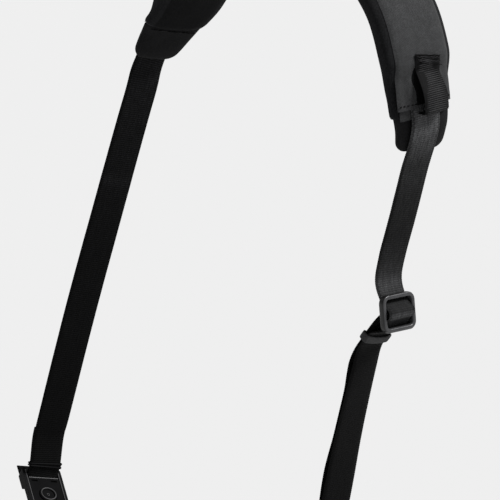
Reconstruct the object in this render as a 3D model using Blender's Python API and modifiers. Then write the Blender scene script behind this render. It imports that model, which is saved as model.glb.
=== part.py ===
"""Padded camera neck strap, hanging as it is worn: pad over the neck, one webbing leg each side.

Metres, +Z up. X runs from the left leg to the right one, -Y is the front, and the origin is
the middle of the pad's underside, where it sits on the neck.
"""

import math

import bmesh
import bpy
from mathutils import Matrix, Vector

MM = 0.001
GAP = 0.3 * MM

# The loop that the strap hangs in
LOOP_SPREAD = 300 * MM
LOOP_SWAY = 30 * MM
HANG_DROP = 540 * MM

# Neck pad
PAD_LENGTH = 417 * MM
PAD_SHIFT = 5.5 * MM
PAD_WIDTH = 64 * MM
PAD_THICKNESS = 18 * MM
PAD_END_WIDTH = 54 * MM
PAD_END_TAPER = 45 * MM
POCKET_LENGTH = 22 * MM
FACE_WIDTH = 53 * MM
FACE_MARGIN = 1.2 * MM
FACE_THICKNESS = 1.5 * MM
HEM_REACH = 8 * MM
HEM_INSIDE = 14 * MM
LEFT_TONGUE = 29 * MM
RIGHT_TONGUE = 37 * MM
TONGUE_WIDTH = 52 * MM
TONGUE_TIP_WIDTH = 39 * MM
TONGUE_THICKNESS = 9 * MM
TONGUE_CORNER = 8 * MM

# Ribbed loop on the cover
TAB_WIDTH = 23 * MM
TAB_THICKNESS = 1.6 * MM
TAB_LENGTH = 37 * MM
TAB_STAND = 9 * MM
TAB_ASIDE = -3.5 * MM

# Webbing
WEB_WIDTH = 25 * MM
WEB_THICKNESS = 1.6 * MM
SETTLE_LENGTH = 48 * MM
LEFT_RUN = 397.5 * MM
UPPER_RUN = 163 * MM
KEEPER_DROP = 28.5 * MM
LOWER_RUN = 172 * MM
RETURN_LENGTH = 46 * MM
PLY_PITCH = 2 * MM
PLY_SLACK = 2.4 * MM
SLACK_LENGTH = 80 * MM

# Slide buckle and keeper
BUCKLE_HEIGHT = 29 * MM
BUCKLE_DEPTH = 4.4 * MM
BUCKLE_BAR = 3.6 * MM
BUCKLE_RAIL = 2.8 * MM
BUCKLE_CLEARANCE = 1.8 * MM
BUCKLE_CENTRE_BAR = 3.0 * MM
BUCKLE_CORNER = 6.5 * MM
BUCKLE_STAND = 21 * MM
BUCKLE_TILT = 20
BUCKLE_ROLL = 6
BUCKLE_LEAD = 48 * MM
KEEPER_LENGTH = 7 * MM
KEEPER_WALL = 1.3 * MM
KEEPER_ROOM = 2.9 * MM
KEEPER_TILT = 24
KEEPER_RISE = 3.6 * MM
KEEPER_NECK = 24 * MM
RING_LENGTH = 3 * MM
RING_WALL = 1.1 * MM
RING_ROOM = 2.4 * MM
RING_RISE = 15.4 * MM

# End connectors
FRAME_LENGTH = 52 * MM
FRAME_INNER = -6.7 * MM
FRAME_OUTER = 2.3 * MM
FRAME_SLIM = 5 * MM
SLIM_START = 15.5 * MM
SLIM_FULL = 20 * MM
RAIL_WIDTH = 3.2 * MM
TOP_BAR = 2.6 * MM
TOP_BAR_THICKNESS = 1.5 * MM
FOOT_LENGTH = 11 * MM
WRAP_BAR = 2.4 * MM
WRAP_BAR_DROP = 12 * MM
LEFT_SWING = 36
RIGHT_SWING = 0
PLATE_START = 11.7 * MM
PLATE_THICKNESS = 2 * MM
NOTCH_LENGTH = 5.5 * MM
BUTTON_RISE = 10.7 * MM
NOTCH_HEIGHT = 1.8 * MM
DISC_DIAMETER = 15 * MM
DISC_DEPTH = 3.4 * MM
LUG_SLOT = 15 * MM
LUG_SLOT_HEIGHT = 3.4 * MM
SIDE_CLEARANCE = 0.9 * MM

# The middle of the strap: across is a share of LOOP_SPREAD, back of LOOP_SWAY and down of
# HANG_DROP. Turn is how far the band's front edge swings towards the left leg, in degrees.
ROUTE = (
    # place, across, back, down, turn
    ("left tip", -0.633, -1.01, 1.008, 22),
    ("left bar", -0.667, -0.77, 0.968, 22),
    ("left ring", -0.669, -0.66, 0.942, 22),
    ("left heel", -0.669, -0.61, 0.900, 25),
    ("left shin", -0.657, -0.57, 0.861, 28),
    ("left calf", -0.618, -0.27, 0.700, 30),
    ("left leg", -0.571, 0.00, 0.541, 29),
    ("left webbing", -0.515, 0.27, 0.367, 26),
    ("left pad end", -0.496, 0.47, 0.304, 22),
    ("left shoulder", -0.425, 0.80, 0.220, 18),
    ("left slope", -0.225, 0.50, 0.065, 8),
    ("crown", 0.000, 0.10, 0.000, 3),
    ("right slope", 0.210, -0.10, 0.022, 4),
    ("right shoulder", 0.393, -0.20, 0.096, 7),
    ("right face", 0.469, -0.20, 0.172, 8),
    ("right pad end", 0.493, -0.13, 0.233, 8),
    ("right webbing", 0.496, -0.07, 0.280, 9),
    ("right leg", 0.465, -0.07, 0.380, 9),
    ("right calf", 0.432, -0.17, 0.485, 8),
    ("right keeper", 0.406, -0.33, 0.589, 2),
    ("right low", 0.371, -0.43, 0.720, 7),
    ("right shin", 0.333, -0.35, 0.848, 13),
    ("right tip", 0.281, -0.37, 1.030, 15),
)
CROWN = [row[0] for row in ROUTE].index("crown")
STEPS_PER_SPAN = 24


class Route:
    """The strap's middle line, measured in metres from the crown, with its three directions."""

    def __init__(self):
        knots = [self.knot(row) for row in ROUTE]
        turns = [row[4] for row in ROUTE]
        self.points, self.turns = [], []
        for i in range(len(knots) - 1):
            last = i == len(knots) - 2
            for k in range(STEPS_PER_SPAN + last):
                self.points.append(between(knots, i, k / STEPS_PER_SPAN))
                self.turns.append(between(turns, i, k / STEPS_PER_SPAN))
        lengths = [0.0]
        for a, b in zip(self.points, self.points[1:]):
            lengths.append(lengths[-1] + (b - a).length)
        start = lengths[CROWN * STEPS_PER_SPAN]
        self.lengths = [length - start for length in lengths]

    @staticmethod
    def knot(row):
        _, across, back, down, _ = row
        top = PAD_THICKNESS / 2
        return Vector((across * LOOP_SPREAD, back * LOOP_SWAY, top - down * HANG_DROP))

    def locate(self, s):
        """The span that holds s, and how far along it s lies. Past either end the strap runs straight."""
        low, high = 0, len(self.lengths) - 2
        while low < high:
            middle = (low + high + 1) // 2
            if self.lengths[middle] <= s:
                low = middle
            else:
                high = middle - 1
        share = (s - self.lengths[low]) / (self.lengths[low + 1] - self.lengths[low])
        return low, share

    def heading(self, i):
        low, high = max(i - 1, 0), min(i + 1, len(self.points) - 1)
        return (self.points[high] - self.points[low]).normalized()

    def frame(self, s):
        """Place, direction along, direction across (towards the front edge) and outward direction."""
        i, share = self.locate(s)
        inside = min(max(share, 0), 1)
        place = self.points[i].lerp(self.points[i + 1], share)
        along = self.heading(i).lerp(self.heading(i + 1), inside).normalized()
        turn = math.radians(self.turns[i] + (self.turns[i + 1] - self.turns[i]) * inside)
        edge = Vector((-math.sin(turn), -math.cos(turn), 0))
        across = (edge - along * edge.dot(along)).normalized()
        return place, along, across, across.cross(along)

    def spot(self, s, across, out):
        place, _, aside, outward = self.frame(s)
        return place + aside * across + outward * out


def between(values, i, share):
    """A value between the i-th and the next on a smooth curve through all of them."""
    before, after = max(i - 1, 0), min(i + 2, len(values) - 1)
    a, b, c, d = values[before], values[i], values[i + 1], values[after]
    t2, t3 = share * share, share * share * share
    slope_b, slope_c = (c - a) * 0.5, (d - b) * 0.5
    return (
        b * (2 * t3 - 3 * t2 + 1)
        + slope_b * (t3 - 2 * t2 + share)
        + c * (3 * t2 - 2 * t3)
        + slope_c * (t3 - t2)
    )


def steps(start, end, pitch):
    """Evenly spaced values from start to end, about one pitch apart."""
    count = max(1, round(abs(end - start) / pitch))
    return [start + (end - start) * k / count for k in range(count + 1)]


def ease(share):
    share = min(max(share, 0), 1)
    return share * share * (3 - 2 * share)


def fresh_collection(name, hidden=False):
    collection = bpy.data.collections.new(name)
    bpy.context.scene.collection.children.link(collection)
    collection.hide_render = hidden
    return collection


def material(name, colour, roughness, metallic=0.0):
    made = bpy.data.materials.new(name)
    made.use_nodes = True
    shader = made.node_tree.nodes["Principled BSDF"]
    shader.inputs["Base Color"].default_value = (*colour, 1)
    shader.inputs["Roughness"].default_value = roughness
    shader.inputs["Metallic"].default_value = metallic
    made.diffuse_color = (*colour, 1)
    return made


def add_object(name, mesh, look, collection):
    obj = bpy.data.objects.new(name, mesh)
    collection.objects.link(obj)
    if look:
        mesh.materials.append(look)
    return obj


def mesh_of(name, bm, smooth_angle=40):
    bmesh.ops.recalc_face_normals(bm, faces=bm.faces)
    mesh = bpy.data.meshes.new(name)
    bm.to_mesh(mesh)
    bm.free()
    mesh.shade_smooth()
    mesh.set_sharp_from_angle(angle=math.radians(smooth_angle))
    return mesh


def loft(name, rings, look, collection):
    """A closed solid through rings of points, with its ends capped."""
    bm = bmesh.new()
    loops = [[bm.verts.new(p) for p in ring] for ring in rings]
    for near, far in zip(loops, loops[1:]):
        for i in range(len(near)):
            j = (i + 1) % len(near)
            bm.faces.new((near[i], near[j], far[j], far[i]))
    bm.faces.new(loops[0])
    bm.faces.new(loops[-1])
    return add_object(name, mesh_of(name, bm), look, collection)


def sheet(name, rows, thickness, look, collection, closed=False):
    """Rows of points made an open surface, thickened evenly both ways by Solidify."""
    bm = bmesh.new()
    lines = [[bm.verts.new(p) for p in row] for row in rows]
    count = len(rows[0])
    for near, far in zip(lines, lines[1:]):
        for i in range(count if closed else count - 1):
            j = (i + 1) % count
            bm.faces.new((near[i], near[j], far[j], far[i]))
    obj = add_object(name, mesh_of(name, bm), look, collection)
    wall = obj.modifiers.new("Wall", "SOLIDIFY")
    wall.thickness = thickness
    wall.offset = 0
    wall.use_even_offset = True
    return obj


def ribbon(name, route, side_line, width, look, collection):
    """Webbing that follows side_line, a list of (along, outward) places, at full width.

    A place may also hold how far it leans, along and outward, for each metre towards the front edge.
    """
    rows = []
    for s, o, *lean in side_line:
        lean_s, lean_o = lean or (0, 0)
        rows.append([route.spot(s + a * lean_s, a, o + a * lean_o) for a in (-width / 2, 0, width / 2)])
    return sheet(name, rows, WEB_THICKNESS, look, collection)


def arc(centre, radius, start, end, count):
    """Points round a centre in the (along, outward) plane. Angles in degrees, 0 along the strap."""
    return [
        (
            centre[0] + radius * math.cos(math.radians(angle)),
            centre[1] + radius * math.sin(math.radians(angle)),
        )
        for angle in steps(start, end, abs(end - start) / count)
    ]


def swoop(start, start_angle, end, end_angle, count):
    """A smooth curve that leaves start and reaches end at the given angles, without its two ends."""
    reach = math.dist(start, end)
    points = []
    for k in range(1, count):
        share = k / count
        t2, t3 = share * share, share**3
        weights = (2 * t3 - 3 * t2 + 1, t3 - 2 * t2 + share, 3 * t2 - 2 * t3, t3 - t2)
        pair = []
        for axis, turn in enumerate((math.cos, math.sin)):
            leave = reach * turn(math.radians(start_angle))
            arrive = reach * turn(math.radians(end_angle))
            parts = (start[axis], leave, end[axis], arrive)
            pair.append(sum(w * value for w, value in zip(weights, parts)))
        points.append(tuple(pair))
    return points


def rounded(width, height, radius, count=4):
    """The outline of a rectangle with round corners, centred on the origin."""
    points = []
    for corner in range(4):
        x = (width / 2 - radius) * (1 if corner in (0, 3) else -1)
        y = (height / 2 - radius) * (1 if corner in (0, 1) else -1)
        points += [
            (x + radius * math.cos(turn), y + radius * math.sin(turn))
            for turn in steps(corner * math.pi / 2, (corner + 1) * math.pi / 2, math.pi / 2 / count)
        ]
    return points


def shifted(points, x, y):
    return [(px + x, py + y) for px, py in points]


def flat_piece(name, outlines, depth, look, collection):
    """A plate of even thickness from 2D outlines, the first the outside and the rest holes."""
    curve = bpy.data.curves.new(name, "CURVE")
    curve.dimensions = "2D"
    curve.fill_mode = "BOTH"
    curve.extrude = depth / 2
    for outline in outlines:
        spline = curve.splines.new("POLY")
        spline.points.add(len(outline) - 1)
        for point, (x, y) in zip(spline.points, outline):
            point.co = (x, y, 0, 1)
        spline.use_cyclic_u = True
    return as_mesh(name, curve, look, collection)


def as_mesh(name, curve, look, collection):
    holder = bpy.data.objects.new(name + "_outline", curve)
    collection.objects.link(holder)
    bpy.context.view_layer.update()
    mesh = bpy.data.meshes.new_from_object(holder.evaluated_get(bpy.context.evaluated_depsgraph_get()))
    bpy.data.objects.remove(holder)
    bm = bmesh.new()
    bm.from_mesh(mesh)
    bmesh.ops.remove_doubles(bm, verts=bm.verts, dist=0.00001)
    bpy.data.meshes.remove(mesh)
    return add_object(name, mesh_of(name, bm), look, collection)


def box_mesh(name, low, high):
    bm = bmesh.new()
    bmesh.ops.create_cube(bm, size=1)
    for vert in bm.verts:
        vert.co = Vector(
            (low[i] + high[i]) / 2 + (high[i] - low[i]) * vert.co[i] for i in range(3)
        )
    return mesh_of(name, bm)


def rod_mesh(name, diameter, length, sides=16):
    """A round bar along X."""
    bm = bmesh.new()
    bmesh.ops.create_cone(
        bm, cap_ends=True, segments=sides, radius1=diameter / 2, radius2=diameter / 2, depth=length
    )
    bmesh.ops.rotate(bm, verts=bm.verts, matrix=Matrix.Rotation(math.pi / 2, 3, "Y"))
    return mesh_of(name, bm)


def boolean(obj, other, operation):
    other.hide_render = True
    other.display_type = "WIRE"
    change = obj.modifiers.new(other.name, "BOOLEAN")
    change.operation = operation
    change.object = other
    change.solver = "EXACT"


def soft_edges(obj, width, segments=2):
    edges = obj.modifiers.new("Edges", "BEVEL")
    edges.width = width
    edges.segments = segments
    edges.limit_method = "ANGLE"
    edges.angle_limit = math.radians(50)


class Pad:
    """The pad's shape along the strap: where it ends and how wide and thick it is."""

    sides = 28

    def __init__(self):
        self.left = PAD_SHIFT - PAD_LENGTH / 2
        self.right = PAD_SHIFT + PAD_LENGTH / 2
        self.tongue_top = PAD_THICKNESS * 0.08
        self.inner = -PAD_THICKNESS / 2

    def to_end(self, s):
        return min(s - self.left, self.right - s)

    def half_width(self, s):
        share = ease(self.to_end(s) / PAD_END_TAPER) ** 0.7
        return (PAD_END_WIDTH + (PAD_WIDTH - PAD_END_WIDTH) * share) / 2

    def outer(self, s):
        """The crown of the body's outer side. It drops near each end, where the webbing goes in."""
        share = ease((self.to_end(s) - POCKET_LENGTH * 0.7) / POCKET_LENGTH)
        return self.tongue_top + (PAD_THICKNESS / 2 - self.tongue_top) * share

    def surface(self, s, across, side):
        """Outward place of the body's skin at a distance across it. side is 1 outside and -1 inside."""
        share = min(abs(across) / self.half_width(s), 1)
        middle = (self.outer(s) + self.inner) / 2
        return middle + side * (self.outer(s) - middle) * (1 - share**3) ** (1 / 3)

    def section(self, s):
        """One closed section of the body, a soft rounded rectangle."""
        points = []
        for k in range(self.sides):
            angle = 2 * math.pi * k / self.sides
            c, d = math.cos(angle), math.sin(angle)
            size = (abs(c) ** 3 + abs(d) ** 3) ** (-1 / 3)
            middle = (self.outer(s) + self.inner) / 2
            points.append((self.half_width(s) * c * size, middle + (self.outer(s) - middle) * d * size))
        return points


def build_pad_body(route, pad, look, collection):
    rings = [
        [route.spot(s, a, o) for a, o in pad.section(s)] for s in steps(pad.left, pad.right, 9 * MM)
    ]
    return loft("pad_body", rings, look, collection)


def face_height(pad, s, across):
    """The middle of the cover: on the body, and over the webbing near each end."""
    on_body = pad.surface(s, across, 1) + GAP + FACE_THICKNESS / 2
    over_webbing = hem_height(pad) + HEM_STACK + FACE_THICKNESS / 2
    return max(on_body, over_webbing)


HEM_STACK = FACE_THICKNESS / 2 + GAP + WEB_THICKNESS + GAP


def hem_height(pad):
    return pad.tongue_top + GAP + FACE_THICKNESS / 2


def build_pad_face(route, pad, look, collection):
    rows = []
    for s in steps(pad.left, pad.right, 9 * MM):
        half = min(FACE_WIDTH / 2, pad.half_width(s) - FACE_MARGIN)
        rows.append([route.spot(s, a, face_height(pad, s, a)) for a in steps(-half, half, half / 5)])
    return sheet("pad_face", rows, FACE_THICKNESS, look, collection)


def build_hem_layer(name, route, pad, end, side, look, collection):
    height = hem_height(pad)
    width = PAD_END_WIDTH - 2 * (FACE_MARGIN + FACE_THICKNESS)
    rows = [
        [route.spot(s, a, height) for a in (-width / 2, 0, width / 2)]
        for s in steps(end - side * HEM_INSIDE, end + side * HEM_REACH, 7 * MM)
    ]
    return sheet(name, rows, FACE_THICKNESS, look, collection)


def build_tongue(name, route, pad, end, side, length, look, collection):
    """The tail under the webbing: narrower towards its tip, with round corners."""
    top = pad.tongue_top
    middle = top - TONGUE_THICKNESS / 2
    rings = []
    for share in (0, 0.2, 0.4, 0.6, 0.72, 0.82, 0.9, 0.96, 1):
        reach = share * length
        half = (TONGUE_WIDTH + (TONGUE_TIP_WIDTH - TONGUE_WIDTH) * share) / 2
        into_corner = max(reach - (length - TONGUE_CORNER), 0) / TONGUE_CORNER
        half -= TONGUE_CORNER * (1 - math.sqrt(1 - (into_corner * 0.95) ** 2))
        thick = TONGUE_THICKNESS / 2 * (1 - 0.45 * into_corner**2)
        ring = []
        for k in range(16):
            angle = 2 * math.pi * k / 16
            c, d = math.cos(angle), math.sin(angle)
            size = (abs(c) ** 3 + abs(d) ** 3) ** (-1 / 3)
            ring.append(route.spot(end + side * (GAP + reach), half * c * size, middle + thick * d * size))
        rings.append(ring)
    return loft(name, rings, look, collection)


def build_loop_tab(route, pad, look, collection):
    """The ribbed band: flat under its stitching, then standing proud, and back in at the hem."""
    end = pad.right
    top = end - TAB_LENGTH

    def on_face(s):
        return face_height(pad, s, TAB_ASIDE) + FACE_THICKNESS / 2 + GAP + TAB_THICKNESS / 2

    stand = on_face(end - 12 * MM) + TAB_STAND
    foot = hem_height(pad) + HEM_STACK + TAB_THICKNESS / 2
    tip = end + GAP + TAB_THICKNESS
    corner = 2.6 * MM
    line = [(s, on_face(s)) for s in steps(top, top + 0.2 * TAB_LENGTH, 4 * MM)]
    for share in (0.3, 0.4, 0.5, 0.6, 0.7, 0.8, 0.88):
        s = top + share * TAB_LENGTH
        rise = ease((share - 0.2) / 0.62)
        line.append((s, on_face(s) * (1 - rise) + stand * rise))
    line += arc((tip - corner, stand - corner), corner, 90, 0, 4)
    line.append((tip, foot))
    edges = (TAB_ASIDE - TAB_WIDTH / 2, TAB_ASIDE, TAB_ASIDE + TAB_WIDTH / 2)
    rows = [[route.spot(s, a, o) for a in edges] for s, o in line]
    return sheet("loop_tab", rows, TAB_THICKNESS, look, collection)


def web_height(pad):
    """The webbing's middle where it leaves the pad, between the hem layer and the cover."""
    return hem_height(pad) + FACE_THICKNESS / 2 + GAP + WEB_THICKNESS / 2


def wrap_radius():
    return (WRAP_BAR + WEB_THICKNESS) / 2 + GAP


def hairpin(bar, side, low):
    """Round the connector's bar, from the ply that lies inward at low to the outward one."""
    centre = (bar, low + wrap_radius())
    turned = arc(centre, wrap_radius(), -90, 90, 8)
    return turned if side > 0 else [(2 * bar - s, o) for s, o in turned]


def ply_spread(rise):
    """How far apart the two plies lie at a height above the connector's bar."""
    far = 2 * wrap_radius()
    return PLY_PITCH + (far - PLY_PITCH) * (1 - ease(rise / (0.62 * RING_RISE)))


def build_left_webbing(route, pad, bar, look, collection):
    """Down from the pad to the bar, round it, and back up to the sewn end on the outer side."""
    start, leave = pad.left + HEM_INSIDE - 2 * MM, pad.left - HEM_REACH
    calm = leave - SETTLE_LENGTH
    top = web_height(pad)
    line = [(s, top) for s in steps(start, leave, 7 * MM)]
    line += [(s, top * (1 - ease((leave - s) / (leave - calm)))) for s in steps(leave, calm, 8 * MM)[1:]]
    line += [(s, 0) for s in steps(calm, bar + RETURN_LENGTH, 14 * MM)[1:]]
    line += [(s, 0) for s in steps(bar + RETURN_LENGTH, bar, 5 * MM)[1:-1]]
    line += hairpin(bar, -1, 0)
    line += [(s, ply_spread(s - bar)) for s in steps(bar, bar + RETURN_LENGTH, 4 * MM)[1:]]
    return ribbon("left_webbing", route, line, WEB_WIDTH, look, collection)


class BuckleSpace:
    """The slide buckle's own plane, tilted out of the strap at its lower bar."""

    def __init__(self, centre):
        self.centre = centre
        self.tilt = math.radians(BUCKLE_TILT)

    def place(self, x, y):
        """(down, outward) in the buckle's plane to (along, outward) on the strap."""
        c, s = math.cos(self.tilt), math.sin(self.tilt)
        return self.centre + x * c - y * s, BUCKLE_STAND + x * s + y * c

    def lean(self, share=1.0):
        """What the buckle's roll in its own plane adds, along and outward, towards the front edge."""
        slope = math.tan(math.radians(BUCKLE_ROLL)) * share
        return slope * math.cos(self.tilt), slope * math.sin(self.tilt)

    def eased(self, line, start, end):
        """The line with the roll eased in or out along it, from share start to share end."""
        last = len(line) - 1
        return [(s, o, *self.lean(start + (end - start) * k / last)) for k, (s, o) in enumerate(line)]

    def matrix(self, route):
        place, along, across, out = route.frame(self.centre)
        c, s = math.cos(self.tilt), math.sin(self.tilt)
        down, face = along * c + out * s, out * c - along * s
        turned = Matrix((across, down, face)).transposed().to_4x4()
        roll = Matrix.Rotation(math.radians(BUCKLE_ROLL), 4, "Z")
        return Matrix.Translation(place + out * BUCKLE_STAND) @ turned @ roll


def bar_wrap():
    """Radius of the sewn ply round the centre bar, and of the running ply over it."""
    sewn = BUCKLE_CENTRE_BAR / 2 + GAP + WEB_THICKNESS / 2
    return sewn, sewn + WEB_THICKNESS + GAP


def keeper_line(keeper, offset):
    """The straight stretch of one ply inside the keeper, tilted outward going up."""
    tilt, reach = math.radians(KEEPER_TILT), KEEPER_LENGTH / 2 + 0.5 * MM
    middle = keeper + offset * math.sin(tilt), KEEPER_RISE + offset * math.cos(tilt)
    return [
        (middle[0] + step * math.cos(tilt), middle[1] - step * math.sin(tilt)) for step in (-reach, reach)
    ]


def build_right_webbing(route, pad, space, keeper, bar, look, collection):
    """One length: pad, slide buckle, keeper, connector bar, keeper again, centre bar."""
    sewn, over = bar_wrap()
    behind = -(BUCKLE_DEPTH + WEB_THICKNESS) / 2 - GAP
    outer_bar = (BUCKLE_HEIGHT - BUCKLE_BAR) / 2
    half, low = PLY_PITCH / 2, -PLY_PITCH / 2
    neck = keeper + KEEPER_NECK
    top = web_height(pad)
    leave = pad.right + HEM_REACH
    calm = leave + SETTLE_LENGTH
    line = [(s, top) for s in steps(pad.right - HEM_INSIDE + 2 * MM, leave, 7 * MM)]
    line += [(s, top * (1 - ease((s - leave) / (calm - leave)))) for s in steps(leave, calm, 8 * MM)[1:]]
    line += [(s, 0) for s in steps(calm, space.centre - BUCKLE_LEAD, 12 * MM)[1:]]
    over_top = [(-outer_bar - 0.2 * MM, behind - 1.2 * MM), (-outer_bar + 1.9 * MM, behind - 0.5 * MM)]
    over_top += [(-outer_bar + 3.6 * MM, behind + 0.5 * MM), (-outer_bar + 5.3 * MM, behind + 2 * MM)]
    under_bottom = [(-x, y) for x, y in reversed(over_top)]
    threaded = over_top + arc((0, 0), over + 0.2 * MM, 168, 12, 9) + under_bottom
    threaded = [space.place(x, y) for x, y in threaded]
    line += space.eased(swoop(line[-1], 0, threaded[0], BUCKLE_TILT + 16, 8), 0, 0.9)
    line += space.eased(threaded, 1, 1)
    through = keeper_line(keeper, half)
    line += space.eased(swoop(threaded[-1], BUCKLE_TILT - 75, through[0], -KEEPER_TILT, 7), 0.9, 0)
    line += through + swoop(through[-1], -KEEPER_TILT, (neck, half), 0, 4)
    line += [(s, half) for s in steps(neck, bar - RING_RISE, 9 * MM)]
    line += [(s, low + ply_spread(bar - s)) for s in steps(bar - RING_RISE, bar, 4 * MM)[1:-1]]
    line += reversed(hairpin(bar, 1, low))
    line += [(s, low) for s in steps(bar, bar - RING_RISE, 5 * MM)[1:]]
    for s in steps(bar - RING_RISE, neck, 9 * MM)[1:]:
        share = (bar - RING_RISE - s) / SLACK_LENGTH
        line.append((s, low - PLY_SLACK * math.sin(math.pi * min(share, 1)) ** 2))
    back = keeper_line(keeper, low)[::-1]
    line += swoop(line[-1], 180, back[0], 180 - KEEPER_TILT, 4) + back
    wrap = [space.place(x, y) for x, y in arc((0, 0), sewn, 206, 24, 10)]
    line += space.eased(swoop(line[-1], 180 - KEEPER_TILT, wrap[0], 136, 8), 0, 0.9)
    line += space.eased(wrap, 1, 1)
    return ribbon("right_webbing", route, line, WEB_WIDTH, look, collection)


def build_slide_buckle(route, space, look, parts, cutters):
    """A frame with round corners and a round bar across its middle."""
    inside = WEB_WIDTH + 2 * BUCKLE_CLEARANCE
    width = inside + 2 * BUCKLE_RAIL
    window = rounded(inside, BUCKLE_HEIGHT - 2 * BUCKLE_BAR, 2 * MM, 3)
    outline = rounded(width, BUCKLE_HEIGHT, BUCKLE_CORNER, 7)
    obj = flat_piece("slide_buckle", [outline, window], BUCKLE_DEPTH, look, parts)
    soft_edges(obj, 0.9 * MM)
    rod = rod_mesh("centre_bar", BUCKLE_CENTRE_BAR, inside + BUCKLE_RAIL)
    rod = add_object("centre_bar", rod, None, cutters)
    obj.matrix_world = rod.matrix_world = space.matrix(route)
    boolean(obj, rod, "UNION")
    return obj


def sleeve(name, route, centre, middle, length, room, wall, look, collection, tilt=0):
    """A flat rounded band round both plies, tilted outward going up."""
    width = WEB_WIDTH + 2 * SIDE_CLEARANCE + wall
    outline = rounded(width, 2 * room + wall, 2 * MM, 3)
    c, d = math.cos(math.radians(tilt)), math.sin(math.radians(tilt))
    rows = [
        [route.spot(centre + x * c + o * d, a, middle - x * d + o * c) for a, o in outline]
        for x in steps(-length / 2, length / 2, 3.5 * MM)
    ]
    return sheet(name, rows, wall, look, collection, closed=True)


def connector_matrix(route, bar, side, low, swing):
    """The connector's own space: X across, Y down from its top edge, Z outward from its bar.

    Swing turns it about the bar, its lower end inward.
    """
    place, along, across, out = route.frame(bar)
    turn = math.radians(swing)
    down = along * side * math.cos(turn) - out * math.sin(turn)
    face = out * math.cos(turn) + along * side * math.sin(turn)
    corner = place + out * (low + wrap_radius()) - down * WRAP_BAR_DROP
    return Matrix.Translation(corner) @ Matrix((across, down, face)).transposed().to_4x4()


def connector_inside():
    return WEB_WIDTH + 2 * SIDE_CLEARANCE


def build_connector_frame(name, matrix, look, parts, cutters):
    """Two rails with a top bar behind the webbing, the bar it turns round, and a slotted foot."""
    inside = connector_inside()
    opening = FRAME_LENGTH - TOP_BAR - FOOT_LENGTH
    outline = shifted(rounded(inside + 2 * RAIL_WIDTH, FRAME_LENGTH, 4 * MM, 5), 0, FRAME_LENGTH / 2)
    window = shifted(rounded(inside, opening, 0.8 * MM, 2), 0, TOP_BAR + opening / 2)
    slot_middle = FRAME_LENGTH - FOOT_LENGTH / 2 + 0.5 * MM
    slot = shifted(rounded(LUG_SLOT, LUG_SLOT_HEIGHT, 1.6 * MM, 3), 0, slot_middle)
    obj = flat_piece(name, [outline, window, slot], FRAME_OUTER - FRAME_INNER, look, parts)
    obj.data.transform(Matrix.Translation((0, 0, (FRAME_OUTER + FRAME_INNER) / 2)))
    soft_edges(obj, 0.7 * MM)
    low = (-inside / 2, -2 * MM, FRAME_INNER - 2 * MM)
    high = (inside / 2, TOP_BAR + 1 * MM, FRAME_OUTER - TOP_BAR_THICKNESS)
    passage = add_object(name + "_passage", box_mesh(name + "_passage", low, high), None, cutters)
    beyond = FRAME_LENGTH + 2 * MM
    slim = FRAME_INNER + FRAME_SLIM
    outline = ((SLIM_START, high[2] + 3 * MM), (beyond, high[2] + 3 * MM), (beyond, slim), (SLIM_FULL, slim))
    rings = [[Vector((x, y, z)) for y, z in outline] for x in (-inside, inside)]
    slimming = loft(name + "_slimming", rings, None, cutters)
    rod = rod_mesh(name + "_wrap_bar", WRAP_BAR, inside + RAIL_WIDTH)
    rod.transform(Matrix.Translation((0, WRAP_BAR_DROP, 0)))
    rod = add_object(name + "_wrap_bar", rod, None, cutters)
    for helper, operation in ((passage, "DIFFERENCE"), (slimming, "DIFFERENCE"), (rod, "UNION")):
        helper.matrix_world = matrix
        boolean(obj, helper, operation)
    obj.matrix_world = matrix
    return obj


def plate_sizes():
    """Length of the plate, how far down its button sits, and its outward face."""
    length = FRAME_LENGTH - FOOT_LENGTH - PLATE_START - GAP
    return length, PLATE_START + length - BUTTON_RISE, FRAME_INNER + PLATE_THICKNESS


def build_connector_plate(name, matrix, look, parts):
    length, button, outward = plate_sizes()
    width = connector_inside() - 2 * GAP
    outline = shifted(rounded(width, length, 1.2 * MM, 3), 0, PLATE_START + length / 2)
    notch = rounded(NOTCH_LENGTH, NOTCH_HEIGHT, 0.7 * MM, 2)
    aside, down = width * 0.32, PLATE_START + 1.7 * NOTCH_HEIGHT
    across = DISC_DIAMETER + 2 * GAP
    hole = rounded(across, across, across / 2 - 0.01 * MM, 7)
    outlines = [outline, shifted(notch, -aside, down), shifted(notch, aside, down), shifted(hole, 0, button)]
    obj = flat_piece(name, outlines, PLATE_THICKNESS, look, parts)
    obj.data.transform(Matrix.Translation((0, 0, outward - PLATE_THICKNESS / 2)))
    obj.matrix_world = matrix
    return obj


def build_connector_disc(name, matrix, look, parts):
    """The round button in the plate, dished on its face."""
    _, button, outward = plate_sizes()
    radius, rim = DISC_DIAMETER / 2, outward - DISC_DEPTH
    corners = (
        (0, outward),
        (radius, outward),
        (radius, rim + 0.8 * MM),
        (radius - 0.8 * MM, rim),
        (radius - 1.6 * MM, rim),
        (radius - 2.6 * MM, rim + 0.9 * MM),
        (0, rim + 1.2 * MM),
    )
    profile = bmesh.new()
    verts = [profile.verts.new((r, 0, z)) for r, z in corners]
    for a, b in zip(verts, verts[1:]):
        profile.edges.new((a, b))
    mesh = bpy.data.meshes.new(name)
    profile.to_mesh(mesh)
    profile.free()
    obj = add_object(name, mesh, look, parts)
    turned = obj.modifiers.new("Turned", "SCREW")
    turned.angle = 2 * math.pi
    turned.steps = turned.render_steps = 28
    turned.use_merge_vertices = True
    turned.merge_threshold = 0.00001
    obj.matrix_world = matrix @ Matrix.Translation((0, button, 0))
    return obj


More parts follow.
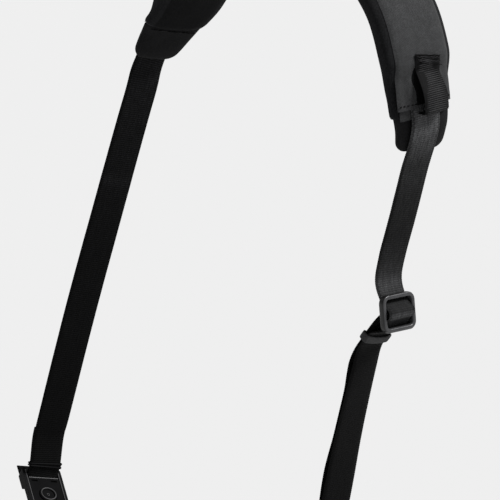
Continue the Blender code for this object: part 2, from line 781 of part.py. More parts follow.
def main():
    for obj in list(bpy.data.objects):
        bpy.data.objects.remove(obj)
    parts = fresh_collection("camera_neck_strap")
    cutters = fresh_collection("cutters", hidden=True)
    padding = material("padding", (0.012, 0.012, 0.013), 0.9)
    cover = material("woven cover", (0.055, 0.056, 0.058), 0.85)
    webbing = material("webbing", (0.02, 0.02, 0.021), 0.8)
    ribbed = material("ribbed band", (0.035, 0.035, 0.036), 0.85)
    satin_metal = material("satin metal", (0.10, 0.10, 0.105), 0.4, 0.7)
    moulded = material("moulded plastic", (0.02, 0.02, 0.021), 0.45)

    route, pad = Route(), Pad()
    buckle_centre = pad.right + UPPER_RUN
    keeper_centre = buckle_centre + KEEPER_DROP
    left_bar = pad.left - LEFT_RUN
    right_bar = keeper_centre + LOWER_RUN
    space = BuckleSpace(buckle_centre)

    build_pad_body(route, pad, padding, parts)
    build_pad_face(route, pad, cover, parts)
    ends = (("left", pad.left, -1, LEFT_TONGUE), ("right", pad.right, 1, RIGHT_TONGUE))
    for word, end, side, length in ends:
        build_hem_layer(f"{word}_hem_layer", route, pad, end, side, cover, parts)
        build_tongue(f"{word}_tongue", route, pad, end, side, length, padding, parts)
    build_loop_tab(route, pad, ribbed, parts)
    build_left_webbing(route, pad, left_bar, webbing, parts)
    build_right_webbing(route, pad, space, keeper_centre, right_bar, webbing, parts)
    build_slide_buckle(route, space, satin_metal, parts, cutters)
    keeper_sizes = KEEPER_LENGTH, KEEPER_ROOM, KEEPER_WALL
    sleeve("keeper", route, keeper_centre, KEEPER_RISE, *keeper_sizes, ribbed, parts, KEEPER_TILT)
    ring_sizes = RING_LENGTH, RING_ROOM, RING_WALL
    sleeve("left_ring", route, left_bar + RING_RISE, PLY_PITCH / 2, *ring_sizes, moulded, parts)
    sleeve("right_ring", route, right_bar - RING_RISE, 0, *ring_sizes, moulded, parts)
    ends = (("left", left_bar, -1, 0, LEFT_SWING), ("right", right_bar, 1, -PLY_PITCH / 2, RIGHT_SWING))
    for word, bar, side, low, swing in ends:
        matrix = connector_matrix(route, bar, side, low, swing)
        build_connector_frame(f"{word}_connector_frame", matrix, moulded, parts, cutters)
        build_connector_plate(f"{word}_connector_plate", matrix, moulded, parts)
        build_connector_disc(f"{word}_connector_disc", matrix, moulded, parts)


main()
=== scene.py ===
import bisect
import math

import bmesh
import bpy
from mathutils import Matrix, Vector, noise


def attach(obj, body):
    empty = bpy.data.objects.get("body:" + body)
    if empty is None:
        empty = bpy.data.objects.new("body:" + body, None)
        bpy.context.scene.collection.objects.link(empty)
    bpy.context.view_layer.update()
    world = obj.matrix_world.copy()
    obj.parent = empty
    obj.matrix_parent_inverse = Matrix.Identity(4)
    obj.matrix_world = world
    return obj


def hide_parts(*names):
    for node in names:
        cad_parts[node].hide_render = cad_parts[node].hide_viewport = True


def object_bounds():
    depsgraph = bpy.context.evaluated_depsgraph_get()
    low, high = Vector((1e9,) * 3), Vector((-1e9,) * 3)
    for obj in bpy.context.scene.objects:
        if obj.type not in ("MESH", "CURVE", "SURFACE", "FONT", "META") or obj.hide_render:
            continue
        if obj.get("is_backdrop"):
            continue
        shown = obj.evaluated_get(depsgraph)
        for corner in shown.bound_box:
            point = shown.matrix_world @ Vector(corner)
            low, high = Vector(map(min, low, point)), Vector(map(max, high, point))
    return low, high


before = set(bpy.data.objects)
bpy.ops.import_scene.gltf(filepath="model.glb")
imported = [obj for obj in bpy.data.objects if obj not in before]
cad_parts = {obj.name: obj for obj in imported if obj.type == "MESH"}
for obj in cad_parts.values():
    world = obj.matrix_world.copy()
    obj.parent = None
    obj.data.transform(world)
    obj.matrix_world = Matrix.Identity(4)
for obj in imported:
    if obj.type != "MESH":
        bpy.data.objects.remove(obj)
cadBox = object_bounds()
mm = 0.001
gap = 0.3 * mm
print("frame loaded:", len(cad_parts), "solids")

# The middle line of the strap, with the same places as the solids
strap = {
    "spread": 300 * mm,
    "sway": 30 * mm,
    "drop": 540 * mm,
    "stepsPerSpan": 24,
    "crownKnot": 11,
    "knots": (  # across, back, down, turn of the band in degrees
        (-0.633, -1.01, 1.008, 22),
        (-0.667, -0.77, 0.968, 22),
        (-0.669, -0.66, 0.942, 22),
        (-0.669, -0.61, 0.900, 25),
        (-0.657, -0.57, 0.861, 28),
        (-0.618, -0.27, 0.700, 30),
        (-0.571, 0.00, 0.541, 29),
        (-0.515, 0.27, 0.367, 26),
        (-0.496, 0.47, 0.304, 22),
        (-0.425, 0.80, 0.220, 18),
        (-0.225, 0.50, 0.065, 8),
        (0.000, 0.10, 0.000, 3),
        (0.210, -0.10, 0.022, 4),
        (0.393, -0.20, 0.096, 7),
        (0.469, -0.20, 0.172, 8),
        (0.493, -0.13, 0.233, 8),
        (0.496, -0.07, 0.280, 9),
        (0.465, -0.07, 0.380, 9),
        (0.432, -0.17, 0.485, 8),
        (0.406, -0.33, 0.589, 2),
        (0.371, -0.43, 0.720, 7),
        (0.333, -0.35, 0.848, 13),
        (0.281, -0.37, 1.030, 15),
    ),
}
pad = {
    "length": 417 * mm,
    "shift": 5.5 * mm,
    "thickness": 18 * mm,
    "shownWidth": 65 * mm,  # the cloth stands a little outside the solid
    "leftEnd": 53 * mm,
    "rightEnd": 57 * mm,
    "endWidth": 54 * mm,
    "endTaper": 45 * mm,
    "pocket": 22 * mm,
    "sides": 44,  # points round one section
    "ringPitch": 4 * mm,
    "simShrink": 0.985,
    "pressure": 4.0,
    "swellFrames": 20,
    "swellCap": 2.0 * mm,
    "creaseDepth": 0.9 * mm,
    "fullness": 3.9,
    "seams": (0.145, 0.355),  # shares of the way round, and again on the inner side
    "leftBeyond": -1.5 * mm,  # how far the body runs past the cover's end, here short of it
    "leftRound": 6 * mm,  # over what length the left end is cut in, and by how much a side
    "leftCut": 3.2 * mm,
    "asideFade": 28 * mm,
    "rightBeyond": 8 * mm,
    "beyondTaper": 1.5 * mm,
    "endRise": 0.9 * mm,
    "riseLength": 24 * mm,
    "leftSkew": 0.18,
    "leftAside": 2.8 * mm,
    "skewFade": 90 * mm,
}
cover = {
    "width": 52 * mm,
    "margin": 1.8 * mm,
    "leftTuck": 4.5 * mm,
    "thickness": 1.5 * mm,
    "shown": 1.0 * mm,  # how thick the cloth looks, against the solid's thickness
    "columns": 36,
    "pitch": 2.5 * mm,
    "ripple": 0.3 * mm,
    "hemReach": 8 * mm,
    "hemInside": 14 * mm,
    "hemBand": 7 * mm,
    "stitchFromEdge": 3.6 * mm,
    "tuckLength": 45 * mm,
    "hemInset": {"left": 6.5 * mm, "right": 2.4 * mm},  # the layer's edge, in from the cover's
    "stitchInset": {"left": 7 * mm, "right": 1.5 * mm},
}
webbing = {
    "width": 25 * mm,
    "thickness": 1.6 * mm,
    "settle": 48 * mm,
    "leftRun": 397.5 * mm,
    "upperRun": 163 * mm,
    "keeperDrop": 28.5 * mm,
    "lowerRun": 172 * mm,
    "returnLength": 46 * mm,
    "plyPitch": 2 * mm,
    "plySlack": 2.4 * mm,
    "slackLength": 80 * mm,
    "wrapBar": 2.4 * mm,
    "ringRise": 15.4 * mm,
    "ribPitch": 1.7 * mm,
    "ribDepth": 0.22 * mm,
    "leftShown": 26 * mm,  # the woven band against the solid's width
    "rightShown": 27 * mm,
    "keeperSlack": 2.6 * mm,
    "buckleDrift": (3.2 * mm, 156 * mm, 14 * mm),  # how far aside, where, and over what length
    "overBar": ((-0.2, -1.2), (1.9, -0.5), (3.6, 0.5), (5.3, 2)),  # down and out in mm at the bar
    "pitch": {
        "sewn": 7 * mm, "settling": 8 * mm, "left": 14 * mm, "right": 12 * mm, "lower": 9 * mm,
    },
}
buckle = {
    "height": 29 * mm,
    "depth": 4.4 * mm,
    "bar": 3.6 * mm,
    "centreBar": 3.0 * mm,
    "stand": 21 * mm,
    "tilt": 20,
    "roll": 6,
    "lead": 48 * mm,
}
keeper = {
    "length": 7 * mm,
    "wall": 1.3 * mm,
    "tilt": 24,
    "rise": 3.6 * mm,
    "neck": 24 * mm,
    "sideRoom": 0.9 * mm,
    "bow": 1.8 * mm,
    "slant": 0.12,
    "shownUp": 2.2 * mm,
    "shownRoom": 2.3 * mm,
}


def between(values, i, share):
    # a value on a smooth curve through all of them, past the i-th one
    before, after = max(i - 1, 0), min(i + 2, len(values) - 1)
    a, b, c, d = values[before], values[i], values[i + 1], values[after]
    t2, t3 = share * share, share * share * share
    return (
        b * (2 * t3 - 3 * t2 + 1)
        + (c - a) * 0.5 * (t3 - 2 * t2 + share)
        + c * (3 * t2 - 2 * t3)
        + (d - b) * 0.5 * (t3 - t2)
    )


def ease(share):
    share = min(max(share, 0), 1)
    return share * share * (3 - 2 * share)


def steps(start, end, pitch):
    count = max(1, round(abs(end - start) / pitch))
    return [start + (end - start) * k / count for k in range(count + 1)]


class StrapLine:
    def __init__(self):
        top = pad["thickness"] / 2
        knots = [
            Vector((a * strap["spread"], b * strap["sway"], top - d * strap["drop"]))
            for a, b, d, _ in strap["knots"]
        ]
        turns = [row[3] for row in strap["knots"]]
        self.points, self.turns = [], []
        for i in range(len(knots) - 1):
            for k in range(strap["stepsPerSpan"] + (i == len(knots) - 2)):
                share = k / strap["stepsPerSpan"]
                self.points.append(between(knots, i, share))
                self.turns.append(between(turns, i, share))
        self.lengths = [0.0]
        for a, b in zip(self.points, self.points[1:]):
            self.lengths.append(self.lengths[-1] + (b - a).length)
        start = self.lengths[strap["crownKnot"] * strap["stepsPerSpan"]]
        self.lengths = [length - start for length in self.lengths]

    def locate(self, s):
        low = min(max(bisect.bisect_right(self.lengths, s) - 1, 0), len(self.lengths) - 2)
        return low, (s - self.lengths[low]) / (self.lengths[low + 1] - self.lengths[low])

    def heading(self, i):
        low, high = max(i - 1, 0), min(i + 1, len(self.points) - 1)
        return (self.points[high] - self.points[low]).normalized()

    def frame(self, s):
        # place, direction along, direction towards the front edge, outward direction
        i, share = self.locate(s)
        inside = min(max(share, 0), 1)
        place = self.points[i].lerp(self.points[i + 1], share)
        along = self.heading(i).lerp(self.heading(i + 1), inside).normalized()
        turn = math.radians(self.turns[i] + (self.turns[i + 1] - self.turns[i]) * inside)
        edge = Vector((-math.sin(turn), -math.cos(turn), 0))
        across = (edge - along * edge.dot(along)).normalized()
        return place, along, across, across.cross(along)

    def spot(self, s, across, out):
        place, _, aside, outward = self.frame(s)
        return place + aside * across + outward * out


line = StrapLine()
padLeft = pad["shift"] - pad["length"] / 2
padRight = pad["shift"] + pad["length"] / 2
padEnds = (("left", padLeft, -1), ("right", padRight, 1))
buckleAt = padRight + webbing["upperRun"]
keeperAt = buckleAt + webbing["keeperDrop"]
leftBar = padLeft - webbing["leftRun"]
rightBar = keeperAt + webbing["lowerRun"]
print("path ready, pad from", round(padLeft, 4), "to", round(padRight, 4))


# Materials

def addNode(tree, kind, inputs=(), **settings):
    node = tree.nodes.new(kind)
    for key, value in settings.items():
        setattr(node, key, value)
    for socket, value in dict(inputs).items():
        if isinstance(value, bpy.types.NodeSocket):
            tree.links.new(value, node.inputs[socket])
        else:
            node.inputs[socket].default_value = value
    return node


class Graph:
    # the nodes of one material
    def __init__(self, name, **shader):
        self.look = bpy.data.materials.new(name)
        self.look.use_nodes = True
        self.tree = self.look.node_tree
        self.links = self.tree.links
        self.shader = self.tree.nodes["Principled BSDF"]
        for socket, value in shader.items():
            self.shader.inputs[socket].default_value = value

    def add(self, kind, inputs=(), **settings):
        return addNode(self.tree, kind, inputs, **settings)

    def math(self, operation, a, b=0.0):
        return self.add("ShaderNodeMath", {0: a, 1: b}, operation=operation).outputs[0]

    def noise(self, place, scale, detail=2.0, roughness=0.5):
        inputs = {"Vector": place, "Scale": scale, "Detail": detail, "Roughness": roughness}
        return self.add("ShaderNodeTexNoise", inputs).outputs["Fac"]

    def ramp(self, value, stops):
        node = self.add("ShaderNodeValToRGB", {"Fac": value})
        for element, (place, colour) in zip(node.color_ramp.elements, (stops[0], stops[-1])):
            element.position = place
            element.color = (*colour, 1)
        for place, colour in stops[1:-1]:
            node.color_ramp.elements.new(place).color = (*colour, 1)
        return node.outputs["Color"]

    def blend(self, share, a, b, mode="MIX"):
        node = self.add("ShaderNodeMix", {"Factor": share}, data_type="RGBA", blend_type=mode)
        for socket, value in ((node.inputs[6], a), (node.inputs[7], b)):
            if isinstance(value, bpy.types.NodeSocket):
                self.links.new(value, socket)
            else:
                socket.default_value = (*value, 1)
        return node.outputs[2]

    def clothMap(self):
        # the piece's own map, in metres along and across
        place = self.add("ShaderNodeUVMap", uv_map="clothMap").outputs["UV"]
        return self.add("ShaderNodeSeparateXYZ", {0: place}).outputs

    def scaled(self, tone, share, stops):
        # the colour times a factor that changes along the share
        factors = self.ramp(share, [(at, (factor,) * 3) for at, factor in stops])
        return self.blend(1.0, tone, factors, "MULTIPLY")

    def belted(self, tone, belt, channel, edge):
        # a darker belt on the map: from, to and all the way round in metres, and its factor
        low, high, whole, factor = belt
        low, high = low / whole, high / whole
        share = self.math("DIVIDE", self.clothMap()[channel], whole)
        stops = ((low - edge, 1), (low, factor), (high, factor), (high + edge, 1))
        return self.scaled(tone, share, stops)

    def finish(self, colour, height=None, distance=0.0, strength=1.0, rough=None):
        self.links.new(colour, self.shader.inputs["Base Color"])
        if height is not None:
            inputs = {"Height": height, "Distance": distance, "Strength": strength}
            bump = self.add("ShaderNodeBump", inputs)
            self.links.new(bump.outputs["Normal"], self.shader.inputs["Normal"])
        if rough is not None:
            self.links.new(rough, self.shader.inputs["Roughness"])
        return self.look


def shade(colour, factor):
    return tuple(channel * factor for channel in colour)


def surface(roughness, gloss, sheen=None, sheenRoughness=None):
    given = {
        "Roughness": roughness, "Specular IOR Level": gloss,
        "Sheen Weight": sheen, "Sheen Roughness": sheenRoughness,
    }
    return {socket: value for socket, value in given.items() if value is not None}


def wovenCloth(
    name, colour, alongPitch, acrossPitch, relief, mottle=0.25, contrast=0.5, fade=(),
    ribs=0.0, band=0.0, **shader,
):
    graph = Graph(name, **shader)
    along, across = graph.clothMap()[:2]
    u = graph.math("MULTIPLY", along, 2 * math.pi / alongPitch)
    v = graph.math("MULTIPLY", across, 2 * math.pi / acrossPitch)
    weave = graph.math("MULTIPLY", graph.math("SINE", u), graph.math("SINE", v))
    weave = graph.add(
        "ShaderNodeMath", {0: weave, 1: 0.5, 2: 0.5}, operation="MULTIPLY_ADD"
    ).outputs[0]
    body = graph.add("ShaderNodeTexCoord").outputs["Object"]
    patches = graph.noise(body, 160.0, 3.0, 0.6)
    grain = graph.noise(body, 1100.0, 1.0)
    tone = graph.ramp(patches, ((0.3, shade(colour, 1 - mottle)), (0.7, shade(colour, 1 + mottle))))
    light = graph.ramp(weave, ((0.25, (0, 0, 0)), (0.8, (contrast,) * 3)))
    dark = graph.ramp(grain, ((0.4, (0, 0, 0)), (0.62, (contrast * 1.2,) * 3)))
    tone = graph.blend(light, tone, shade(colour, 1.9))
    tone = graph.blend(dark, tone, shade(colour, 0.3))
    if ribs:
        # painted shade in the gaps between the ribs that lie across the band
        tone = graph.scaled(tone, graph.math("SINE", u), ((0.0, 1 - ribs), (0.5, 1)))
    if band:
        # darker dotted selvedges, and faint lines along the band
        over = graph.math("PINGPONG", across, band)
        near = graph.math("MINIMUM", over, graph.math("SUBTRACT", band, over))
        dots = graph.math("MULTIPLY", graph.math("SINE", graph.math("MULTIPLY", u, 0.5)), 0.0005)
        near = graph.math("DIVIDE", graph.math("ADD", near, dots), 0.004)
        tone = graph.scaled(tone, near, ((0.05, 0.75), (0.2, 0.4), (0.5, 0.45), (0.7, 1)))
        slow = graph.math("MULTIPLY", along, 0.12)
        drawn = graph.add("ShaderNodeCombineXYZ", {0: slow, 1: across})
        streak = graph.noise(drawn.outputs[0], 620.0, 2.0, 0.6)
        tone = graph.scaled(tone, streak, ((0.36, 0.72), (0.64, 1.22)))
    if fade:
        # painted sheen and shade along the band: places in metres, factors on the colour
        far = fade[-1][0]
        share = graph.math("DIVIDE", along, far)
        tone = graph.scaled(tone, share, [(at / far, factor) for at, factor in fade])
    height = graph.math("ADD", weave, graph.math("MULTIPLY", grain, 0.6))
    return graph.finish(tone, height, relief, 0.8)


def feltCloth(name, colour, relief, belt=(), **shader):
    # fine short-napped cloth with no direction
    graph = Graph(name, **shader)
    body = graph.add("ShaderNodeTexCoord").outputs["Object"]
    nap = graph.noise(body, 900.0, 2.0, 0.7)
    patches = graph.noise(body, 90.0, 4.0, 0.6)
    cells = graph.add("ShaderNodeTexVoronoi", {"Vector": body, "Scale": 900.0}).outputs["Distance"]
    tone = graph.ramp(patches, ((0.3, shade(colour, 0.75)), (0.7, shade(colour, 1.3))))
    light = graph.ramp(nap, ((0.42, (0, 0, 0)), (0.65, (0.8, 0.8, 0.8))))
    tone = graph.blend(light, tone, shade(colour, 2.0))
    if belt:
        tone = graph.belted(tone, belt, 1, 0.004)
    height = graph.math("ADD", nap, graph.math("MULTIPLY", cells, 0.8))
    return graph.finish(tone, height, relief, 0.7)


def hardLook(name, colour, grainScale, relief, roughness, spread, belt=(), **shader):
    # moulded or coated: fine grain, worn a little lighter in patches
    graph = Graph(name, **shader)
    body = graph.add("ShaderNodeTexCoord").outputs["Object"]
    grain = graph.noise(body, grainScale, 2.0, 0.6)
    patches = graph.noise(body, 120.0, 4.0, 0.65)
    tone = graph.ramp(patches, ((0.35, shade(colour, 0.85)), (0.75, shade(colour, 1.3))))
    # the belt darkens one band of the map, as painted shade
    if belt:
        tone = graph.belted(tone, belt, 0, 0.03)
    rough = graph.add(
        "ShaderNodeMapRange", {"Value": patches, "To Min": roughness, "To Max": roughness + spread}
    ).outputs[0]
    return graph.finish(tone, grain, relief, 0.35, rough)


coverLook = wovenCloth(
    "grey woven cover", (0.032, 0.0325, 0.0335), 1.5 * mm, 1.5 * mm, 0.14 * mm, 0.2, 0.4,
    **surface(0.9, 0.1, 0.06, 0.5),
)
tongueLook = feltCloth(
    "soft black tail cloth", (0.0050, 0.0050, 0.0053), 0.15 * mm,
    **surface(0.85, 0.1, 0.04, 0.4),
)
leftWebLook = wovenCloth(
    "black webbing weave with painted sheen and shade", (0.0105, 0.0105, 0.0112), 1.7 * mm, 1.3 * mm, 0.25 * mm, 0.15, 0.5,
    # painted sheen and shade along the band, with a narrow painted highlight
    fade=(
        (0, 1.2), (0.05, 1.2), (0.112, 0.78), (0.138, 0.7), (0.147, 1.2), (0.155, 0.62),
        (0.19, 0.47), (0.268, 0.38), (0.33, 0.24), (0.6, 0.24),
    ),
    ribs=0.6, band=26.2 * mm,
    **surface(0.8, 0.08, 0.03, 0.4),
)
rightWebLook = wovenCloth(
    "webbing weave with painted sheen and shade", (0.066, 0.0665, 0.0685), 1.7 * mm, 1.3 * mm, 0.25 * mm, 0.15, 0.4,
    # painted sheen and shade along the band, with narrow painted highlights near the buckle
    fade=(
        (0, 1.2), (0.032, 1.2), (0.046, 0.74), (0.06, 0.38), (0.089, 0.2), (0.12, 0.155), (0.138, 0.2),
        (0.150, 0.3), (0.158, 0.58), (0.166, 0.6), (0.171, 0.22), (0.183, 0.22), (0.1858, 0.85),
        (0.188, 0.85), (0.1905, 0.2), (0.2, 0.2), (0.212, 0.15), (0.222, 0.04), (0.6, 0.04),
    ),
    ribs=0.25, band=27.2 * mm,
    **surface(0.8, 0.08, 0.03, 0.4),
)
tabLook = wovenCloth(
    "dark band ground", (0.0065, 0.0065, 0.0067), 0.7 * mm, 0.9 * mm, 0.1 * mm, 0.12, 0.2,
    **surface(0.85, 0.08),
)
ribLook = feltCloth(
    "grey band ribs", (0.019, 0.019, 0.0195), 0.1 * mm, **surface(0.8, 0.1),
)
keeperLook = wovenCloth(
    "keeper band weave", (0.026, 0.026, 0.027), 1.1 * mm, 1.3 * mm, 0.15 * mm, 0.12, 0.4,
    **surface(0.75, 0.15, 0.05),
)
threadLook = feltCloth(
    "dark sewing thread", (0.003, 0.003, 0.003), 0.05 * mm,
    **surface(0.9, 0.03),
)
paleThreadLook = feltCloth(
    "grey sewing thread", (0.017, 0.017, 0.0175), 0.05 * mm,
    **surface(0.8, 0.1),
)
# black cloth, also put on dark sheets as painted shade
blackClothAndShadeLook = feltCloth(
    "black inner cloth and painted shade", (0.0030, 0.0030, 0.0030), 0.1 * mm,
    **surface(0.95, 0.03),
)
buckleShine = {"Metallic": 0.1, "Specular IOR Level": 0.55, "IOR": 1.4}
buckleLook = hardLook(
    "satin coated metal", (0.036, 0.036, 0.038), 2200.0, 0.03 * mm, 0.28, 0.1, **buckleShine,
)
plasticLook = hardLook(
    "moulded black plastic", (0.0042, 0.0042, 0.0045), 1800.0, 0.04 * mm, 0.45, 0.12,
    **{"Specular IOR Level": 0.3, "IOR": 1.12},
)
plateLook = hardLook(
    "matt black plate", (0.0036, 0.0036, 0.0038), 1500.0, 0.05 * mm, 0.6, 0.12,
    **{"Specular IOR Level": 0.3, "IOR": 1.1},
)
# lighter lips along the connector's edges, as painted highlight
lipHighlightLook = hardLook(
    "plastic lip with painted highlight", (0.032, 0.032, 0.033), 1800.0, 0.03 * mm, 0.35, 0.12,
    **{"Specular IOR Level": 0.4},
)
discLook = hardLook(
    "moulded button rim", (0.013, 0.013, 0.0135), 1800.0, 0.03 * mm, 0.4, 0.12,
    **{"Specular IOR Level": 0.25},
)
print("materials ready")


# Mesh helpers

def place(name, mesh, look=None):
    obj = bpy.data.objects.new(name, mesh)
    bpy.context.scene.collection.objects.link(obj)
    if look:
        mesh.materials.append(look)
    return obj


def outwardMesh(bm, name):
    bmesh.ops.recalc_face_normals(bm, faces=bm.faces)
    mesh = bpy.data.meshes.new(name)
    bm.to_mesh(mesh)
    bm.free()
    return mesh


def closedSkin(name, rings, alongs, arounds, look):
    # a closed skin through rings of points, with its map in metres
    bm = bmesh.new()
    uv = bm.loops.layers.uv.new("clothMap")
    loops = [[bm.verts.new(p) for p in ring] for ring in rings]
    count = len(rings[0])
    for i in range(len(rings) - 1):
        for j in range(count):
            k = (j + 1) % count
            face = bm.faces.new((loops[i][j], loops[i][k], loops[i + 1][k], loops[i + 1][j]))
            corners = ((i, j), (i, j + 1), (i + 1, j + 1), (i + 1, j))
            for loop, (row, column) in zip(face.loops, corners):
                loop[uv].uv = (alongs[row], arounds[column])
    for i, ring in ((0, loops[0]), (len(rings) - 1, loops[-1])):
        cap = bm.faces.new(ring)
        for loop, v in zip(cap.loops, arounds):
            loop[uv].uv = (alongs[i], v)
    mesh = outwardMesh(bm, name)
    mesh.shade_smooth()
    mesh.set_sharp_from_angle(angle=math.radians(50))
    return place(name, mesh, look)


def ringLength(points):
    # running length round a closed section of (across, out) points
    total, lengths = 0.0, [0.0]
    for a, b in zip(points, points[1:] + points[:1]):
        total += math.dist(a, b)
        lengths.append(total)
    return lengths


def baked(obj):
    # modifiers made into the mesh itself
    graph = bpy.context.evaluated_depsgraph_get()
    mesh = bpy.data.meshes.new_from_object(obj.evaluated_get(graph), depsgraph=graph)
    obj.modifiers.clear()
    obj.data = mesh
    return obj


def softened(obj):
    smooth = obj.modifiers.new("Finer", "SUBSURF")
    smooth.levels = smooth.render_levels = 1
    baked(obj)
    obj.data.shade_smooth()


def asPiece(obj, slot, *nodes):
    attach(obj, "root")
    if nodes:
        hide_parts(*nodes)
    return obj


def wander(point, scale, size, seed):
    return noise.noise(point * scale + Vector((seed, seed * 1.7, -seed))) * size


# Neck pad: seams are held, and the cloth between them is blown up

def toEnd(s):
    return min(s - padLeft, padRight - s)


def halfWidth(s):
    share = ease(toEnd(s) / pad["endTaper"]) ** 0.7
    end = pad["leftEnd"] if s < pad["shift"] else pad["rightEnd"]
    return (end + (pad["shownWidth"] - end) * share) / 2


def pastEnd(s):
    # how far along the stretch past the cover's end, from 0 to 1
    first = padLeft - pad["leftBeyond"]
    left = (first + pad["leftRound"] - s) / pad["leftRound"]
    return max(left, (s - padRight) / pad["rightBeyond"], 0)


tongueTop = pad["thickness"] * 0.08
inner = -pad["thickness"] / 2


def outerHeight(s):
    share = ease((toEnd(s) - pad["pocket"] * 0.7) / pad["pocket"])
    return tongueTop + (pad["thickness"] / 2 - tongueTop) * share


def innerHeight(s):
    return inner + pad["endRise"] * (1 - ease((toEnd(s) + 8 * mm) / pad["riseLength"]))


def padSpot(s, across, out):
    # the left end is cut on a slant, the front edge lower
    fade = 1 - ease((s - padLeft) / pad["skewFade"])
    aside = pad["leftAside"] * (1 - ease((s - padLeft) / pad["asideFade"]))
    return line.spot(s - across * pad["leftSkew"] * fade, across + aside, out)


def padSurface(s, across):
    full = pad["fullness"]
    share = min(abs(across) / halfWidth(s), 1)
    middle = (outerHeight(s) + innerHeight(s)) / 2
    return middle + (outerHeight(s) - middle) * (1 - share**full) ** (1 / full)


def padSection(s, shrink):
    points, full = [], pad["fullness"]
    middle = (outerHeight(s) + innerHeight(s)) / 2
    rise = outerHeight(s) - middle
    half = halfWidth(s) - pad["leftCut" if s < pad["shift"] else "beyondTaper"] * ease(pastEnd(s))
    for k in range(pad["sides"]):
        angle = 2 * math.pi * k / pad["sides"]
        c, d = math.cos(angle), math.sin(angle)
        size = (abs(c) ** full + abs(d) ** full) ** (-1 / full)
        points.append((half * c * size * shrink, middle + rise * d * size * shrink))
    return points


def buildPad():
    first = padLeft - pad["leftBeyond"]
    along = [first]
    along += steps(first + pad["leftRound"], padRight + pad["rightBeyond"], pad["ringPitch"])
    rings, arounds = [], None
    for s in along:
        section = padSection(s, pad["simShrink"])
        arounds = arounds or ringLength(section)
        rings.append([padSpot(s, a, o) for a, o in section])
    sides, last = pad["sides"], len(along) - 1
    seams = [half + round(sides * share) for half in (0, sides // 2) for share in pad["seams"]]
    liningLook = feltCloth(
        "black napped lining", (0.0068, 0.0069, 0.0074), 0.15 * mm,
        belt=(arounds[seams[2]], arounds[seams[3]], arounds[-1], 0.42),
        **surface(0.95, 0.06, 0.04, 0.45),
    )
    obj = closedSkin("neckPad", rings, along, arounds, liningLook)
    held = obj.vertex_groups.new(name="held")
    underCover = [k for k in range(1, sides // 2) if seams[0] <= k <= seams[1]]
    for i in range(len(along)):
        for k in range(sides):
            index = i * sides + k
            if i in (0, last) or k in seams or k in underCover:
                held.add([index], 1.0, "REPLACE")
    start = [v.co.copy() for v in obj.data.vertices]
    cloth = obj.modifiers.new("Cloth", "CLOTH")
    cloth.settings.vertex_group_mass = "held"
    cloth.settings.use_pressure = True
    cloth.settings.uniform_pressure_force = pad["pressure"]
    cloth.settings.effector_weights.gravity = 0
    cloth.settings.mass = 0.25
    cloth.settings.tension_stiffness = cloth.settings.compression_stiffness = 12
    cloth.point_cache.frame_end = pad["swellFrames"]
    for step in range(1, pad["swellFrames"] + 1):
        bpy.context.scene.frame_set(step)
    baked(obj)
    bpy.context.scene.frame_set(1)
    # cap the swelling, press the seams in and let the cloth wander a little
    for v, before in zip(obj.data.vertices, start):
        moved = v.co - before
        if moved.length > pad["swellCap"]:
            v.co = before + moved.normalized() * pad["swellCap"]
    for i, s in enumerate(along):
        _, _, aside, outward = line.frame(s)
        section = padSection(s, 1)
        for k in range(sides):
            v = obj.data.vertices[i * sides + k]
            a, o = section[k]
            away = (aside * a + outward * (o - (outerHeight(s) + innerHeight(s)) / 2)).normalized()
            if k in seams and k > sides // 2:
                v.co -= away * pad["creaseDepth"]
            elif k not in underCover:
                v.co += away * wander(v.co.copy(), 38, 0.5 * mm, 3)
    softened(obj)
    asPiece(obj, "padding", "pad_body")
    return obj


buildPad()
print("pad swollen")


# Cover, hem layers and tails

hemStack = cover["thickness"] / 2 + gap + webbing["thickness"] + gap
hemHeight = tongueTop + gap + cover["thickness"] / 2
webHeight = hemHeight + cover["thickness"] / 2 + gap + webbing["thickness"] / 2


def coverHeight(s, across):
    # the middle of the cover: on the body, and draped over the webbing near each end
    onBody = padSurface(s, across) + gap + cover["shown"] / 2
    off = ease((abs(across) - webbing["width"] * 0.52) / (7 * mm))
    stack = hemStack + cover["shown"] / 2
    beside = (cover["thickness"] + cover["shown"]) / 2 + gap
    overWebbing = hemHeight + stack * (1 - off) + beside * off
    return max(onBody, overWebbing)


def clothRings(rows, thickness, widths, heights, columns, seed, ripple):
    # rings of a cloth layer with turned edges: out along the top, back along the underside
    rings, arounds = [], None
    for s in rows:
        half, top, under = widths(s), [], []
        for k in range(columns + 1):
            share = 2 * k / columns - 1
            across = half * share
            thick = thickness / 2 * max(1 - abs(share) ** 14, 0.0) ** 0.5
            middle = heights(s, across)
            middle -= (gap + thickness / 2) * abs(share) ** 10
            lift = wander(Vector((s, across, seed)), 95, ripple, seed) * (1 - abs(share) ** 6)
            top.append((across, middle + thick + max(lift, -0.2 * mm)))
            under.append((across, middle - thick))
        section = top + under[-2:0:-1]
        arounds = arounds or ringLength(section)
        rings.append([padSpot(s, a, o) for a, o in section])
    return rings, arounds


def buildCover():
    rows = steps(padLeft, padRight, cover["pitch"])

    def widths(s):
        tucked = cover["leftTuck"] * (1 - ease((s - padLeft) / cover["tuckLength"]))
        return min(cover["width"] / 2, halfWidth(s) - cover["margin"]) - tucked

    def heights(s, across):
        edge = toEnd(s)
        band = 0.35 * mm * ease((cover["hemBand"] - edge) / (2 * mm))
        groove = 0.45 * mm * math.exp(-(((edge - cover["stitchFromEdge"]) / (0.9 * mm)) ** 2))
        return coverHeight(s, across) + band - groove

    rings, arounds = clothRings(
        rows, cover["shown"], widths, heights, cover["columns"], 2.0, cover["ripple"]
    )
    obj = closedSkin("padCover", rings, rows, arounds, coverLook)
    return asPiece(obj, "woven_cover", "pad_face")


